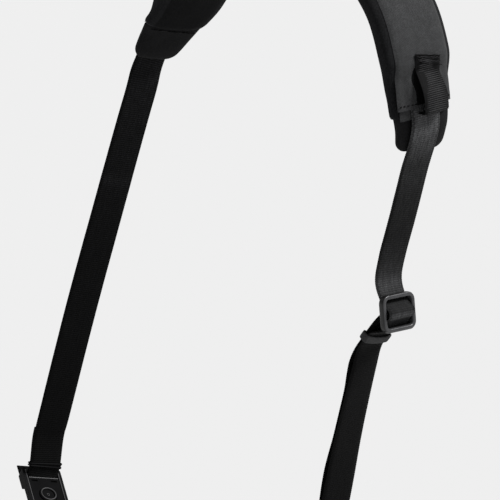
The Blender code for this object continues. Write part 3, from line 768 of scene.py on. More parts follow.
def buildHemLayer(word, end, side):
    rows = steps(end - side * cover["hemInside"], end + side * cover["hemReach"], 1.5 * mm)
    half = pad["endWidth"] / 2 - cover["margin"] - cover["hemInset"][word]
    rings, arounds = clothRings(
        rows, cover["shown"], lambda s: half, lambda s, a: hemHeight, 20, 5.0, 0.1 * mm
    )
    obj = closedSkin(word + "HemLayer", rings, rows, arounds, coverLook)
    return asPiece(obj, "woven_cover", word + "_hem_layer")


tail = {
    "left": {
        "length": 27.5 * mm, "width": 50.5 * mm, "tip": 33.5 * mm,
        "aside": -0.5 * mm, "start": -5 * mm,
    },
    "right": {
        "length": 36.5 * mm, "width": 55 * mm, "tip": 43 * mm,
        "aside": -1.5 * mm, "start": 1 * mm,
    },
    "thickness": 9 * mm,
    "corner": 8 * mm,
    "rows": 26,
    "sides": 32,
    "seamPinch": 0.8 * mm,
    "pucker": 1.4 * mm,
}


def buildTail(word, end, side):
    rings, alongs, arounds, own = [], [], None, tail[word]
    length = own["length"]
    middle = tongueTop - tail["thickness"] / 2
    for row in range(tail["rows"] + 1):
        share = 1 - (1 - row / tail["rows"]) ** 1.5
        reach = own["start"] + share * (length - own["start"])
        half = (own["width"] + (own["tip"] - own["width"]) * share) / 2
        intoCorner = max(reach - (length - tail["corner"]), 0) / tail["corner"]
        half -= tail["corner"] * (1 - math.sqrt(1 - (intoCorner * 0.97) ** 2))
        thick = tail["thickness"] / 2 * math.sqrt(max(1 - (intoCorner * 0.9) ** 2.5, 0.01))
        ring, section = [], []
        for k in range(tail["sides"]):
            angle = 2 * math.pi * k / tail["sides"]
            c, d = math.cos(angle), math.sin(angle)
            size = (abs(c) ** 3 + abs(d) ** 3) ** (-1 / 3)
            pinch = tail["seamPinch"] * math.exp(-((d / 0.12) ** 2)) * (1 - intoCorner)
            a = half * c * size - math.copysign(pinch, c)
            puff = wander(Vector((reach, a, side)), 55, tail["pucker"], 9) * abs(d)
            o = middle + thick * d * size - abs(puff) * math.copysign(1, d)
            section.append((a, o))
            ring.append(padSpot(end + side * (gap + reach), own["aside"] + a, o))
        arounds = arounds or ringLength(section)
        rings.append(ring)
        alongs.append(reach)
    obj = closedSkin(word + "Tail", rings, alongs, arounds, tongueLook)
    softened(obj)
    asPiece(obj, "padding", word + "_tongue")
    return obj


buildCover()
for word, end, side in padEnds:
    buildHemLayer(word, end, side)
    buildTail(word, end, side)
print("cover and tails sewn")


# Geometry Nodes trees

def newTree(name, sizes):
    tree = bpy.data.node_groups.new(name, "GeometryNodeTree")
    tree.interface.new_socket("Geometry", in_out="INPUT", socket_type="NodeSocketGeometry")
    for label, value in sizes:
        kind = "NodeSocketInt" if isinstance(value, int) else "NodeSocketFloat"
        tree.interface.new_socket(label, in_out="INPUT", socket_type=kind).default_value = value
    tree.interface.new_socket("Material", in_out="INPUT", socket_type="NodeSocketMaterial")
    tree.interface.new_socket("Geometry", in_out="OUTPUT", socket_type="NodeSocketGeometry")
    return tree


def repeatTree(name, sizes):
    # small rounded bars set along a line, each lying along or across it on the cloth
    tree = newTree(name, sizes)
    given = addNode(tree, "NodeGroupInput").outputs
    curve = addNode(tree, "GeometryNodeMeshToCurve", {"Mesh": given["Geometry"]})
    places = addNode(
        tree, "GeometryNodeResampleCurve", {"Curve": curve.outputs[0], "Length": given["Spacing"]},
        mode="LENGTH",
    )
    bar = addNode(tree, "GeometryNodeMeshUVSphere", {"Segments": 8, "Rings": 6, "Radius": 1.0})
    facing = addNode(
        tree, "GeometryNodeInputNamedAttribute", {"Name": "facing"}, data_type="FLOAT_VECTOR"
    )
    running = addNode(tree, "GeometryNodeInputTangent")
    turned = addNode(
        tree, "FunctionNodeAxesToRotation",
        {"Primary Axis": facing.outputs["Attribute"], "Secondary Axis": running.outputs[0]},
        primary_axis="Z", secondary_axis="X",
    )
    jitter = addNode(
        tree, "FunctionNodeRandomValue",
        {"Min": (0.88, 0.88, 0.88), "Max": (1.1, 1.1, 1.1), "Seed": given["Seed"]},
        data_type="FLOAT_VECTOR",
    )
    size = addNode(
        tree, "ShaderNodeCombineXYZ",
        {"X": given["Half Length"], "Y": given["Half Width"], "Z": given["Half Height"]},
    )
    scale = addNode(
        tree, "ShaderNodeVectorMath", {0: jitter.outputs["Value"], 1: size.outputs[0]},
        operation="MULTIPLY",
    )
    spread = addNode(
        tree, "GeometryNodeInstanceOnPoints",
        {
            "Points": places.outputs[0], "Instance": bar.outputs[0],
            "Rotation": turned.outputs[0], "Scale": scale.outputs[0],
        },
    )
    real = addNode(tree, "GeometryNodeRealizeInstances", {"Geometry": spread.outputs[0]})
    smooth = addNode(tree, "GeometryNodeSetShadeSmooth", {"Geometry": real.outputs[0]})
    look = addNode(
        tree, "GeometryNodeSetMaterial",
        {"Geometry": smooth.outputs[0], "Material": given["Material"]},
    )
    addNode(tree, "NodeGroupOutput", {"Geometry": look.outputs[0]})
    return tree


stitchTree = repeatTree(
    "stitchesAlongLine",
    (
        ("Spacing", 3.3 * mm), ("Half Length", 1.2 * mm), ("Half Width", 0.5 * mm),
        ("Half Height", 0.4 * mm), ("Seed", 4),
    ),
)
ribTree = repeatTree(
    "ribsAcrossBand",
    (
        ("Spacing", 1.55 * mm), ("Half Length", 0.6 * mm), ("Half Width", 11.2 * mm),
        ("Half Height", 0.34 * mm), ("Seed", 9),
    ),
)


def alongLines(name, tree, lines, look, sizes=()):
    # lines: lists of (point, facing direction); one tree run over all of them
    mesh = bpy.data.meshes.new(name)
    points = [point for row in lines for point, _ in row]
    edges, first = [], 0
    for row in lines:
        edges += [(first + k, first + k + 1) for k in range(len(row) - 1)]
        first += len(row)
    mesh.from_pydata([tuple(p) for p in points], edges, [])
    facing = mesh.attributes.new("facing", "FLOAT_VECTOR", "POINT")
    for item, (_, direction) in zip(facing.data, (pair for row in lines for pair in row)):
        item.vector = direction
    obj = place(name, mesh)
    change = obj.modifiers.new("Repeat", "NODES")
    change.node_group = tree
    values = dict(sizes)
    values["Material"] = look
    for item in tree.interface.items_tree:
        if item.in_out == "INPUT" and item.name in values:
            change[item.identifier] = values[item.name]
    return baked(obj)


def onStrap(s, across, out):
    return line.spot(s, across, out), line.frame(s)[3]


def coverTop(s, across):
    return coverHeight(s, across) + cover["shown"] / 2


def onCover(s, across, out):
    return padSpot(s, across, out), line.frame(s)[3]


hemLines = []
for word, end, side in padEnds:
    s = end - side * cover["stitchFromEdge"]
    half = pad["endWidth"] / 2 - cover["margin"] - cover["stitchInset"][word]
    hemLines.append([onCover(s, a, coverTop(s, a) + 0.4 * mm) for a in steps(-half, half, 1 * mm)])
asPiece(alongLines("hemStitches", stitchTree, hemLines, threadLook), "padding")

# the seam where the left tail meets the body, on the inner side, and a few pale stitches on it as
# painted glints
seam = {
    "half": 19 * mm,
    "pitch": 1 * mm,
    "sunk": 0.45 * mm,
    "glintAt": (12, 25, 27),  # which places of the line
    "glintOut": 0.3 * mm,
    "dark": {
        "Spacing": 2.2 * mm, "Half Length": 1.4 * mm, "Half Width": 0.5 * mm,
        "Half Height": 0.35 * mm,
    },
    "pale": {
        "Spacing": 2.2 * mm, "Half Length": 0.9 * mm, "Half Width": 0.3 * mm,
        "Half Height": 0.3 * mm,
    },
}
seamAt = padLeft - pad["leftBeyond"] - 0.2 * mm
seamLine = [
    (padSpot(seamAt, a, innerHeight(seamAt) + seam["sunk"]), -line.frame(seamAt)[3])
    for a in steps(-seam["half"], seam["half"], seam["pitch"])
]
asPiece(alongLines("leftSeam", stitchTree, [seamLine], threadLook, seam["dark"]), "padding")
# pale stitches raised a little, as painted glints
glints = [
    [(spot + facing * seam["glintOut"], facing) for spot, facing in seamLine[k:k + 3]]
    for k in seam["glintAt"]
]
glintStitches = alongLines("leftSeamGlints", stitchTree, glints, paleThreadLook, seam["pale"])
asPiece(glintStitches, "woven_cover")


# Ribbed loop tab on the cover

tab = {
    "width": 23 * mm,
    "thickness": 1.6 * mm,
    "length": 37 * mm,
    "stand": 7.4 * mm,
    "aside": -2.8 * mm,
    "slant": 0.2,
    "pastHem": 2.2 * mm,
    "corner": 2.6 * mm,
    "sewnLength": 7 * mm,
    "zigzagRows": (0.3, 0.7),  # shares of the sewn length
    "zigzagPoints": 15,
    "zigzagSwing": 0.4 * mm,
}
innerClothAndShadow = {
    "start": 0.8,  # share of the tab's length
    "end": 2.6 * mm,
    "low": -14 * mm,
    "high": 8.5 * mm,
    "columns": 18,
    "shadowBulge": (3.2 * mm, 8 * mm, 6 * mm),  # painted shadow of the loop, widening the cloth to the front: how far out, how far down, and over what length
    "beyond": 0.6 * mm,
    "top": 0.4 * mm,
    "under": 0.1 * mm,
}


def arc(centre, radius, start, end, count):
    return [
        (
            centre[0] + radius * math.cos(math.radians(angle)),
            centre[1] + radius * math.sin(math.radians(angle)),
        )
        for angle in steps(start, end, abs(end - start) / count)
    ]


def finer(rows, parts):
    # the same line with more places on a smooth curve through its own
    vectors = [Vector((*row, *([0.0] * (4 - len(row))))) for row in rows]
    out = []
    for i in range(len(vectors) - 1):
        out += [between(vectors, i, k / parts) for k in range(parts)]
    return out + [vectors[-1]]


def bandSkin(
    name, rows, width, thickness, aside, look, columns=14, seed=1.0, ribDepth=0.0, drift=(),
):
    # a woven band with rounded selvedges along (along, out, lean along, lean out) places
    section = []
    for k in range(columns + 1):
        share = 2 * k / columns - 1
        thick = thickness / 2 * max(1 - abs(share) ** 16, 0.0) ** 0.5
        section.append((share * width / 2, max(thick, 0.12 * thickness)))
    section += [(a, -t) for a, t in reversed(section)]
    arounds, alongs, rings, run = ringLength(section), [], [], 0.0
    for i, row in enumerate(rows):
        before, after = rows[max(i - 1, 0)], rows[min(i + 1, len(rows) - 1)]
        direction = Vector((after[0] - before[0], after[1] - before[1])).normalized()
        normal = (-direction[1], direction[0])
        if i:
            run += math.dist(row[:2], rows[i - 1][:2])
        ring = []
        moved = drift[0] * math.exp(-(((run - drift[1]) / drift[2]) ** 2)) if drift else 0.0
        for a, t in section:
            wave = wander(Vector((run, a * 0.6, seed)), 60, 0.12 * mm, seed)
            turn = 2 * math.pi * run / webbing["ribPitch"]
            rib = ribDepth * math.sin(turn) * math.copysign(0.5, t)
            t = t + wave + rib
            ring.append(
                line.spot(
                    row[0] + t * normal[0] + a * row[2],
                    aside + moved + a,
                    row[1] + t * normal[1] + a * row[3],
                )
            )
        rings.append(ring)
        alongs.append(run)
    return closedSkin(name, rings, alongs, arounds, look)


def tabLine():
    end, top = padRight, padRight - tab["length"]

    def onFace(s):
        return coverHeight(s, tab["aside"]) + (cover["thickness"] + tab["thickness"]) / 2 + gap

    stand = onFace(end - 12 * mm) + tab["stand"]
    foot = hemHeight + hemStack + tab["thickness"] / 2
    tip = end + gap + tab["thickness"] + tab["pastHem"]
    rows = [(s, onFace(s), -tab["slant"]) for s in steps(top, top + 0.2 * tab["length"], 4 * mm)]
    for share in (0.3, 0.4, 0.5, 0.6, 0.7, 0.8, 0.88):
        s = top + share * tab["length"]
        rise = ease((share - 0.2) / 0.62)
        lean = -tab["slant"] * (1 - ease((share - 0.2) / 0.7))
        rows.append((s, onFace(s) * (1 - rise) + stand * rise, lean))
    rows += arc((tip - tab["corner"], stand - tab["corner"]), tab["corner"], 90, 0, 4)
    rows.append((tip, foot))
    return finer(rows, 4)


def buildTab():
    rows = tabLine()
    obj = bandSkin(
        "ribbedTab", rows, tab["width"], tab["thickness"], tab["aside"], tabLook, seed=6.0
    )
    asPiece(obj, "ribbed_band", "loop_tab")
    run = []
    for i, row in enumerate(rows):
        before, after = rows[max(i - 1, 0)], rows[min(i + 1, len(rows) - 1)]
        direction = Vector((after[0] - before[0], after[1] - before[1])).normalized()
        s = row[0] - direction[1] * tab["thickness"] * 0.52
        o = row[1] + direction[0] * tab["thickness"] * 0.52
        _, along, _, outward = line.frame(row[0])
        facing = (outward * direction[0] - along * direction[1]).normalized()
        run.append((line.spot(s, tab["aside"], o), facing))
    asPiece(alongLines("tabRibs", ribTree, [run[1:-9]], ribLook), "ribbed_band")
    start, count = rows[0][0], tab["zigzagPoints"]
    bars = []
    high = rows[0][1] + tab["thickness"] * 0.9
    for at in (0.6 * mm, tab["sewnLength"]):
        bars.append([
            onStrap(start + at - tab["slant"] * a, tab["aside"] + a, high)
            for a in steps(-tab["width"] * 0.46, tab["width"] * 0.46, 1 * mm)
        ])
    zigzags = []
    for row in tab["zigzagRows"]:
        zigzags.append([])
        for k in range(count):
            a = tab["width"] * 0.9 * (k / (count - 1) - 0.5)
            swing = tab["zigzagSwing"] * (1 if k % 2 else -1)
            at = row * tab["sewnLength"] + swing - tab["slant"] * a
            out = rows[0][1] + tab["thickness"] * 0.85
            zigzags[-1].append(onStrap(start + at, tab["aside"] + a, out))
    dense = {"Spacing": 1.5 * mm, "Half Length": 0.85 * mm, "Half Width": 0.3 * mm}
    asPiece(alongLines("tabBarStitches", stitchTree, bars, threadLook, dense), "padding")
    stitches = alongLines("tabZigzagStitches", stitchTree, zigzags, paleThreadLook, dense)
    asPiece(stitches, "woven_cover")


def buildTabHollow():
    # the black cloth that lies on the cover inside the loop, widened to the front as painted shadow of
    # the loop
    start, end = padRight - innerClothAndShadow["start"] * tab["length"], padRight - innerClothAndShadow["end"]
    rows = steps(start, end, 1.5 * mm)
    rings, arounds = [], None
    out, down, length = innerClothAndShadow["shadowBulge"]
    low, count = innerClothAndShadow["low"], innerClothAndShadow["columns"]
    for s in rows:
        full = out * math.exp(-(((s - rows[0] - down) / length) ** 2)) + innerClothAndShadow["beyond"]
        high = innerClothAndShadow["high"] + full
        columns = [low + (high - low) * k / count for k in range(count + 1)]
        section = [(a, coverTop(s, a) + innerClothAndShadow["top"]) for a in columns]
        section += [(a, coverTop(s, a) - innerClothAndShadow["under"]) for a in reversed(columns)]
        arounds = arounds or ringLength(section)
        rings.append([padSpot(s, a, o) for a, o in section])
    asPiece(closedSkin("tabInnerClothAndShadow", rings, rows, arounds, blackClothAndShadeLook), "padding")


buildTab()
buildTabHollow()
print("loop tab sewn on")


# Webbing legs

def wrapRadius():
    return (webbing["wrapBar"] + webbing["thickness"]) / 2 + gap


def hairpin(bar, side, low):
    turned = arc((bar, low + wrapRadius()), wrapRadius(), -90, 90, 8)
    return turned if side > 0 else [(2 * bar - s, o) for s, o in turned]


def plySpread(rise):
    far = 2 * wrapRadius()
    near = webbing["plyPitch"]
    return near + (far - near) * (1 - ease(rise / (0.62 * webbing["ringRise"])))


def swoop(start, startAngle, end, endAngle, count):
    reach = math.dist(start[:2], end[:2])
    points = []
    for k in range(1, count):
        share = k / count
        t2, t3 = share * share, share**3
        weights = (2 * t3 - 3 * t2 + 1, t3 - 2 * t2 + share, 3 * t2 - 2 * t3, t3 - t2)
        pair = []
        for axis, turn in enumerate((math.cos, math.sin)):
            leave = reach * turn(math.radians(startAngle))
            arrive = reach * turn(math.radians(endAngle))
            values = (start[axis], leave, end[axis], arrive)
            pair.append(sum(w * v for w, v in zip(weights, values)))
        points.append(tuple(pair))
    return points


def offPad(end, side):
    # from under the hem, over the tail and down to the middle line
    start = end - side * (cover["hemInside"] - 2 * mm)
    leave = end + side * cover["hemReach"]
    calm = leave + side * webbing["settle"]
    rows = [(s, webHeight) for s in steps(start, leave, webbing["pitch"]["sewn"])]
    for s in steps(leave, calm, webbing["pitch"]["settling"])[1:]:
        rows.append((s, webHeight * (1 - ease((s - leave) / (calm - leave)))))
    return rows, calm


def leftLegLine():
    rows, calm = offPad(padLeft, -1)
    bar, sewn = leftBar, leftBar + webbing["returnLength"]
    rows += [(s, 0) for s in steps(calm, sewn, webbing["pitch"]["left"])[1:]]
    rows += [(s, 0) for s in steps(sewn, bar, 5 * mm)[1:-1]]
    rows += hairpin(bar, -1, 0)
    rows += [(s, plySpread(s - bar)) for s in steps(bar, sewn, 4 * mm)[1:]]
    return rows


tilt = math.radians(buckle["tilt"])


def inBuckle(x, y):
    c, s = math.cos(tilt), math.sin(tilt)
    return buckleAt + x * c - y * s, buckle["stand"] + x * s + y * c


def rolled(rows, start, end):
    slope = math.tan(math.radians(buckle["roll"]))
    last, out = len(rows) - 1, []
    for k, (s, o) in enumerate(rows):
        share = slope * (start + (end - start) * k / last)
        out.append((s, o, share * math.cos(tilt), share * math.sin(tilt)))
    return out


def keeperLine(offset):
    lean, reach = math.radians(keeper["tilt"]), keeper["length"] / 2 + 0.5 * mm
    s, o = keeperAt + offset * math.sin(lean), keeper["rise"] + offset * math.cos(lean)
    return [(s + step * math.cos(lean), o - step * math.sin(lean)) for step in (-reach, reach)]


def rightLegLine():
    sewn = buckle["centreBar"] / 2 + gap + webbing["thickness"] / 2
    over = sewn + webbing["thickness"] + gap
    behind = -(buckle["depth"] + webbing["thickness"]) / 2 - gap
    bar = (buckle["height"] - buckle["bar"]) / 2
    half, low = webbing["plyPitch"] / 2, -webbing["plyPitch"] / 2
    neck, rise = keeperAt + keeper["neck"], webbing["ringRise"]
    rows, calm = offPad(padRight, 1)
    rows += [(s, 0) for s in steps(calm, buckleAt - buckle["lead"], webbing["pitch"]["right"])[1:]]
    overTop = [(-bar + x * mm, behind + y * mm) for x, y in webbing["overBar"]]
    underBottom = [(-x, y) for x, y in reversed(overTop)]
    threaded = overTop + arc((0, 0), over + 0.2 * mm, 168, 12, 9) + underBottom
    threaded = [inBuckle(x, y) for x, y in threaded]
    rows += rolled(swoop(rows[-1], 0, threaded[0], buckle["tilt"] + 16, 8), 0, 0.9)
    rows += rolled(threaded, 1, 1)
    through = keeperLine(half)
    rows += rolled(swoop(threaded[-1], buckle["tilt"] - 75, through[0], -keeper["tilt"], 7), 0.9, 0)
    rows += through + swoop(through[-1], -keeper["tilt"], (neck, half), 0, 4)
    rows += [(s, half) for s in steps(neck, rightBar - rise, webbing["pitch"]["lower"])]
    for s in steps(rightBar - rise, rightBar, 4 * mm)[1:-1]:
        rows.append((s, low + plySpread(rightBar - s)))
    rows += reversed(hairpin(rightBar, 1, low))
    rows += [(s, low) for s in steps(rightBar, rightBar - rise, 5 * mm)[1:]]
    for s in steps(rightBar - rise, neck, webbing["pitch"]["lower"])[1:]:
        share = (rightBar - rise - s) / webbing["slackLength"]
        near = math.exp(-(((s - keeperAt - 22 * mm) / (16 * mm)) ** 2)) * webbing["keeperSlack"]
        rows.append((s, low - near - webbing["plySlack"] * math.sin(math.pi * min(share, 1)) ** 2))
    back = keeperLine(low)[::-1]
    rows += swoop(rows[-1], 180, back[0], 180 - keeper["tilt"], 4) + back
    wrap = [inBuckle(x, y) for x, y in arc((0, 0), sewn, 206, 24, 10)]
    rows += rolled(swoop(rows[-1], 180 - keeper["tilt"], wrap[0], 136, 8), 0, 0.9)
    rows += rolled(wrap, 1, 1)
    return rows


def evenRows(rows, pitch):
    # places at even running lengths on the same line
    rows, out, left = [Vector(row) for row in rows], [], 0.0
    for a, b in zip(rows, rows[1:]):
        length = (b - a).to_2d().length
        while left < length:
            out.append(a.lerp(b, left / length))
            left += pitch
        left -= length
    return out + [rows[-1]]


def buildLeg(name, rows, width, look, node, seed, drift=()):
    rows = evenRows(finer([tuple(row) for row in rows], 5), webbing["ribPitch"] / 4)
    obj = bandSkin(
        name, rows, width, webbing["thickness"], 0, look, columns=12, seed=seed,
        ribDepth=webbing["ribDepth"], drift=drift,
    )
    return asPiece(obj, "webbing", node)


buildLeg("leftWebbing", leftLegLine(), webbing["leftShown"], leftWebLook, "left_webbing", 3.0)
buildLeg(
    "rightWebbing", rightLegLine(), webbing["rightShown"], rightWebLook, "right_webbing", 8.0,
    webbing["buckleDrift"],
)
print("webbing threaded")


def roundedPath(width, height, radius, pitch):
    # a closed rectangle with round corners, as places about a pitch apart
    outline, path = [], []
    for corner in range(4):
        x = (width / 2 - radius) * (1 if corner in (0, 3) else -1)
        y = (height / 2 - radius) * (1 if corner in (0, 1) else -1)
        for turn in steps(corner * math.pi / 2, (corner + 1) * math.pi / 2, math.pi / 14):
            outline.append((x + radius * math.cos(turn), y + radius * math.sin(turn)))
    for a, b in zip(outline, outline[1:] + outline[:1]):
        count = max(1, round(math.dist(a, b) / pitch))
        for k in range(count):
            path.append((a[0] + (b[0] - a[0]) * k / count, a[1] + (b[1] - a[1]) * k / count))
    return path


def oval(halfDepth, halfWidth, power, count):
    points = []
    for k in range(count):
        turn = 2 * math.pi * k / count
        size = (abs(math.cos(turn)) ** power + abs(math.sin(turn)) ** power) ** (-1 / power)
        points.append((halfDepth * math.cos(turn) * size, halfWidth * math.sin(turn) * size))
    return points


def ringSkin(name, path, profile, spot, look):
    # a profile of (depth, outward) places carried round a closed path
    bm = bmesh.new()
    uv = bm.loops.layers.uv.new("clothMap")
    rings, count = [], len(profile)
    for i, (p, q) in enumerate(path):
        before, after = Vector(path[i - 1]), Vector(path[(i + 1) % len(path)])
        tangent = (after - before).normalized()
        rings.append([
            bm.verts.new(spot(p + tangent[1] * w, q - tangent[0] * w, depth)) for depth, w in profile
        ])
    around, run = ringLength(profile), ringLength(path)
    for i in range(len(rings)):
        j = (i + 1) % len(rings)
        for k in range(count):
            m = (k + 1) % count
            face = bm.faces.new((rings[i][k], rings[i][m], rings[j][m], rings[j][k]))
            corners = ((i, k), (i, k + 1), (i + 1, k + 1), (i + 1, k))
            for loop, (row, column) in zip(face.loops, corners):
                loop[uv].uv = (around[column], run[row])
    mesh = outwardMesh(bm, name)
    mesh.shade_smooth()
    return place(name, mesh, look)


def buildKeeper():
    lean = math.radians(keeper["tilt"])
    c, d = math.cos(lean), math.sin(lean)
    width = webbing["width"] + 2 * keeper["sideRoom"] + keeper["wall"] + 1.2 * mm

    def spot(a, o, x):
        x += keeper["bow"] * (1 - (2 * a / width) ** 2) - keeper["slant"] * a - keeper["shownUp"]
        return line.spot(keeperAt + x * c + o * d, a, keeper["rise"] - x * d + o * c)

    path = roundedPath(width, 2 * keeper["shownRoom"] + keeper["wall"], 1.9 * mm, 1.5 * mm)
    profile = oval(keeper["length"] / 2, keeper["wall"] / 2, 5, 20)
    return asPiece(ringSkin("keeperBand", path, profile, spot, keeperLook), "ribbed_band", "keeper")


ringBand = {
    "room": 2.2 * mm,
    "sideRoom": 1.4 * mm,
    "profile": (  # depth and height in mm of its two ridges and the groove between them
        (-1.9, -0.5), (-1.9, 0.2), (-1.6, 0.6), (-1.2, 0.75), (-0.8, 0.6), (-0.45, 0.15), (0, 0),
        (0.45, 0.15), (0.8, 0.6), (1.2, 0.75), (1.6, 0.6), (1.9, 0.2), (1.9, -0.5), (0, -0.5),
    ),
}


def buildRing(word, centre, middle):
    width = webbing["width"] + 2 * ringBand["sideRoom"]
    path = roundedPath(width, 2 * ringBand["room"], 1.6 * mm, 1.5 * mm)
    profile = [(x * mm, w * mm) for x, w in ringBand["profile"]]
    ring = ringSkin(
        word + "Ring", path, profile,
        lambda a, o, x: line.spot(centre + x, a, middle + o), plasticLook,
    )
    return asPiece(ring, "moulded_plastic", word + "_ring")


frameLook = {
    "halfWidth": 17.1 * mm,
    "rail": 3.5 * mm,
    "corner": 6.5 * mm,
    "power": 4.2,
    "depth": 5.4 * mm,
    "back": 0.5 * mm,
    "backPly": {"halfWidth": 14.2 * mm, "halfLength": 11.5 * mm, "behind": 3.3 * mm},
}


def buildBuckle():
    # a cast frame with soft edges, and the bar across its middle
    here, along, across, out = line.frame(buckleAt)
    c, d = math.cos(tilt), math.sin(tilt)
    turned = Matrix((across, along * c + out * d, out * c - along * d)).transposed().to_4x4()
    roll = Matrix.Rotation(math.radians(buckle["roll"]), 4, "Z")
    space = Matrix.Translation(here + out * buckle["stand"]) @ turned @ roll
    rail, wide = frameLook["rail"], frameLook["halfWidth"]

    def spot(p, q, depth):
        return space @ Vector((p, q, depth))

    high, corner = buckle["height"] - rail, frameLook["corner"] - rail / 2
    path = roundedPath(2 * wide - rail, high, corner, 1.2 * mm)
    section = oval(frameLook["depth"] / 2, rail / 2, frameLook["power"], 28)
    profile = [(x - frameLook["back"], w) for x, w in section]
    around = ringLength(profile)
    # the outer side wall darkened by a belt, as painted shade
    frameShadeLook = hardLook(
        "satin frame with painted shade on its outer wall", (0.040, 0.040, 0.042), 2200.0, 0.03 * mm, 0.28, 0.1,
        belt=(around[4], around[12], around[-1], 0.12), **buckleShine,
    )
    ring = ringSkin("buckleFrame", path, profile, spot, frameShadeLook)
    asPiece(ring, "satin_metal", "slide_buckle")
    half, radius = wide - rail * 0.7, buckle["centreBar"] / 2
    rings, alongs = [], steps(-half, half, 1.5 * mm)
    section = oval(radius, radius, 2, 20)
    for x in alongs:
        rings.append([space @ Vector((x, q, z)) for z, q in section])
    bar = closedSkin("buckleBar", rings, alongs, ringLength(section), buckleLook)
    asPiece(bar, "satin_metal")
    # the strap's own end, folded flat behind the bar, in black as painted shade in the buckle's window
    ply = frameLook["backPly"]
    section = oval(webbing["thickness"] / 2, ply["halfWidth"], 8, 32)
    alongs = steps(-ply["halfLength"], ply["halfLength"], 0.1 * ply["halfLength"])
    rings = [[space @ Vector((q, y, z - ply["behind"])) for z, q in section] for y in alongs]
    flap = closedSkin("buckleBackPly", rings, alongs, ringLength(section), blackClothAndShadeLook)
    asPiece(flap, "webbing")


connector = {
    "barDrop": 12 * mm,
    "swing": {"left": 36, "right": 0},
    "halfInside": 13.4 * mm,
    "face": -6.7 * mm,
    "lip": 0.45 * mm,
    "plateTop": 11.7 * mm,
    "foot": 41 * mm,
    "discDown": 29.7 * mm,
    "rounds": (  # name, radius, points, half width and half height, and how far under the face
        ("DiscRim", 6.1 * mm, 40, (0.55 * mm, 0.7 * mm, 2, 12), 1.3 * mm),
        ("DiscPip", 1.0 * mm, 16, (0.45 * mm, 0.4 * mm, 2, 10), 0.2 * mm),
    ),
    # a dark disc behind the rim, painted shade in the groove round it
    "grooveShade": 8.4 * mm,
    "grooveShadeFrom": (2.06 * mm, 2.5 * mm),
    # a dark panel as painted shade inside the left connector's top
    "lining": {
        "size": (29 * mm, 17.5 * mm, 0.9 * mm),
        "place": (1.2 * mm, 0.35 * mm, 1.8 * mm),
        "bevel": 0.3 * mm,
    },
}


def connectorSpace(word):
    # across, down from the top edge, outward from the wrap bar
    bar, side, low = (leftBar, -1, 0) if word == "left" else (rightBar, 1, -webbing["plyPitch"] / 2)
    here, along, across, out = line.frame(bar)
    swing = math.radians(connector["swing"][word])
    down = along * side * math.cos(swing) - out * math.sin(swing)
    face = out * math.cos(swing) + along * side * math.sin(swing)
    corner = here + out * (low + wrapRadius()) - down * connector["barDrop"]
    return Matrix.Translation(corner) @ Matrix((across, down, face)).transposed().to_4x4()


def buildConnectorLips(word):
    # lips on the rails and the plate's top edge, lightened as painted highlight, the disc's rim and
    # pip, and a dark disc of painted shade round it
    space, half, face = connectorSpace(word), connector["halfInside"], connector["face"]
    lip = oval(connector["lip"], connector["lip"], 2, 10)
    down, top = connector["discDown"], connector["plateTop"]

    def rod(name, alongs, section, spot, look):
        rings = [[space @ Vector(spot(along, a, b)) for a, b in section] for along in alongs]
        skin = closedSkin(word + name, rings, alongs, ringLength(section), look)
        return asPiece(skin, "moulded_plastic")

    for name, x in (("LipFront", half + 0.5 * mm), ("LipBack", -half - 0.5 * mm)):
        alongs = steps(3.4 * mm, connector["foot"], 2 * mm)
        rod(name, alongs, lip, lambda y, a, b: (x + a, y, face + b), lipHighlightLook)
    alongs = steps(-half + 0.8 * mm, half - 0.8 * mm, 2 * mm)
    rod("PlateLip", alongs, lip, lambda x, a, b: (x, top + a, face + b), lipHighlightLook)
    for name, radius, points, profile, under in connector["rounds"]:
        asPiece(ringSkin(
            word + name, oval(radius, radius, 2, points), oval(*profile),
            lambda a, b, z: space @ Vector((a, down + b, face - under + z)), discLook,
        ), "moulded_plastic")
    # painted shade in the groove round the disc
    disc = oval(connector["grooveShade"], connector["grooveShade"], 2, 40)
    alongs = [face + height for height in connector["grooveShadeFrom"]]
    rod("ButtonGrooveShade", alongs, disc, lambda z, a, b: (a, down + b, z), blackClothAndShadeLook)


def buildConnectorShadePanel():
    # a dark panel behind the webbing at the top of the left connector, as painted shade in the frame's
    # interior
    lining, bm = connector["lining"], bmesh.new()
    bmesh.ops.create_cube(bm, size=1.0)
    bmesh.ops.scale(bm, vec=lining["size"], verts=bm.verts)
    bmesh.ops.translate(bm, vec=lining["place"], verts=bm.verts)
    bmesh.ops.bevel(bm, geom=bm.edges, offset=lining["bevel"], segments=2, affect="EDGES")
    bmesh.ops.transform(bm, matrix=connectorSpace("left"), verts=bm.verts)
    mesh = outwardMesh(bm, "leftConnectorShadePanel")
    asPiece(place("leftConnectorShadePanel", mesh, blackClothAndShadeLook), "moulded_plastic")


buildKeeper()
buildRing("left", leftBar + webbing["ringRise"], webbing["plyPitch"] / 2)
buildRing("right", rightBar - webbing["ringRise"], 0)
buildBuckle()
for word in ("left", "right"):
    buildConnectorLips(word)
buildConnectorShadePanel()
print("keeper, rings and buckle made")

# Hard fittings keep their solids and get their finish
finishes = {}
for word in ("left", "right"):
    for part in ("connector_frame", "connector_plate", "connector_disc"):
        finishes[word + "_" + part] = plasticLook if part == "connector_frame" else plateLook
for node, look in finishes.items():
    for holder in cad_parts[node].material_slots:
        holder.material = look
print("fittings finished")


# Floor, light and camera

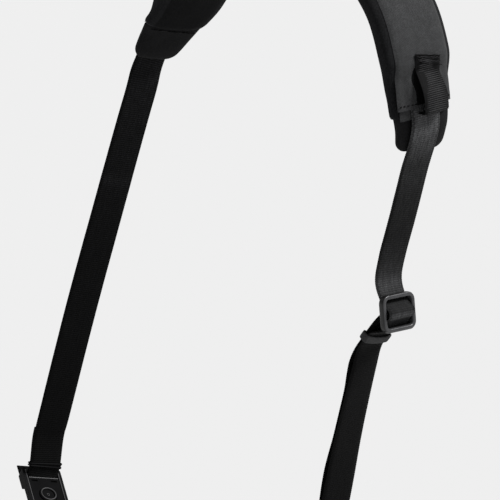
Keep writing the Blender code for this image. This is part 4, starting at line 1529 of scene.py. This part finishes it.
stage = {
    "floorDrop": 0.9,
    "floorSize": 60.0,
    "floorTone": 0.53,
    "sunStrength": 4.9,
    "sunAngle": 24,
    "sunAim": (-0.42, -0.40, -0.82),
    "skyStrength": 0.35,
}
bm = bmesh.new()
bmesh.ops.create_grid(bm, x_segments=8, y_segments=8, size=stage["floorSize"] / 2)
bmesh.ops.translate(bm, verts=bm.verts, vec=(0, 0, -stage["floorDrop"]))
floorMesh = bpy.data.meshes.new("paleFloor")
bm.to_mesh(floorMesh)
bm.free()
floorGraph = Graph("pale floor", **surface(1.0, 0.0))
tone = floorGraph.noise(floorGraph.add("ShaderNodeTexCoord").outputs["Object"], 0.3, 1.0)
pale = stage["floorTone"]
stops = ((0.3, (pale,) * 3), (0.7, (pale * 1.005,) * 3))
floorLook = floorGraph.finish(floorGraph.ramp(tone, stops))
place("paleFloor", floorMesh, floorLook)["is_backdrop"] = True

world = bpy.data.worlds.new("studio")
bpy.context.scene.world = world
world.use_nodes = True
world.node_tree.nodes["Background"].inputs["Color"].default_value = (1, 1, 1, 1)
world.node_tree.nodes["Background"].inputs["Strength"].default_value = stage["skyStrength"]

sun = bpy.data.lights.new("softTop", "SUN")
sun.energy = stage["sunStrength"]
sun.angle = math.radians(stage["sunAngle"])
sunLamp = bpy.data.objects.new("softTop", sun)
bpy.context.scene.collection.objects.link(sunLamp)
sunLamp.rotation_euler = Vector(stage["sunAim"]).to_track_quat("-Z", "Y").to_euler()

shot = {
    "turn": 42,
    "height": 17,
    "roll": 4.5,
    "distance": 5.0,
    "lens": 6550 / 500 * 36,
    "target": Vector((0, -30, -113)) * mm,
    "down": 145 * mm,
    "left": 3.8 * mm,
}
turn, rise, roll = (math.radians(shot[key]) for key in ("turn", "height", "roll"))
back = Vector((math.sin(turn) * math.cos(rise), -math.cos(turn) * math.cos(rise), math.sin(rise)))
right = Vector((math.cos(turn), math.sin(turn), 0))
up = back.cross(right)
shotRight = right * math.cos(roll) + up * math.sin(roll)
shotUp = up * math.cos(roll) - right * math.sin(roll)
target = shot["target"] - shotUp * shot["down"] - shotRight * shot["left"]
camera = bpy.data.cameras.new("camera")
camera.lens = shot["lens"]
camera.sensor_width = 36
camera.clip_end = 200
eye = bpy.data.objects.new("camera", camera)
bpy.context.scene.collection.objects.link(eye)
turned = Matrix((shotRight, shotUp, back)).transposed().to_4x4()
eye.matrix_world = Matrix.Translation(target + back * shot["distance"]) @ turned
bpy.context.scene.camera = eye
bpy.context.scene.view_settings.view_transform = "Standard"
print("stage set")

boxes = {"cad": cadBox, "visual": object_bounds()}
{key: [list(corner) for corner in box] for key, box in boxes.items()}
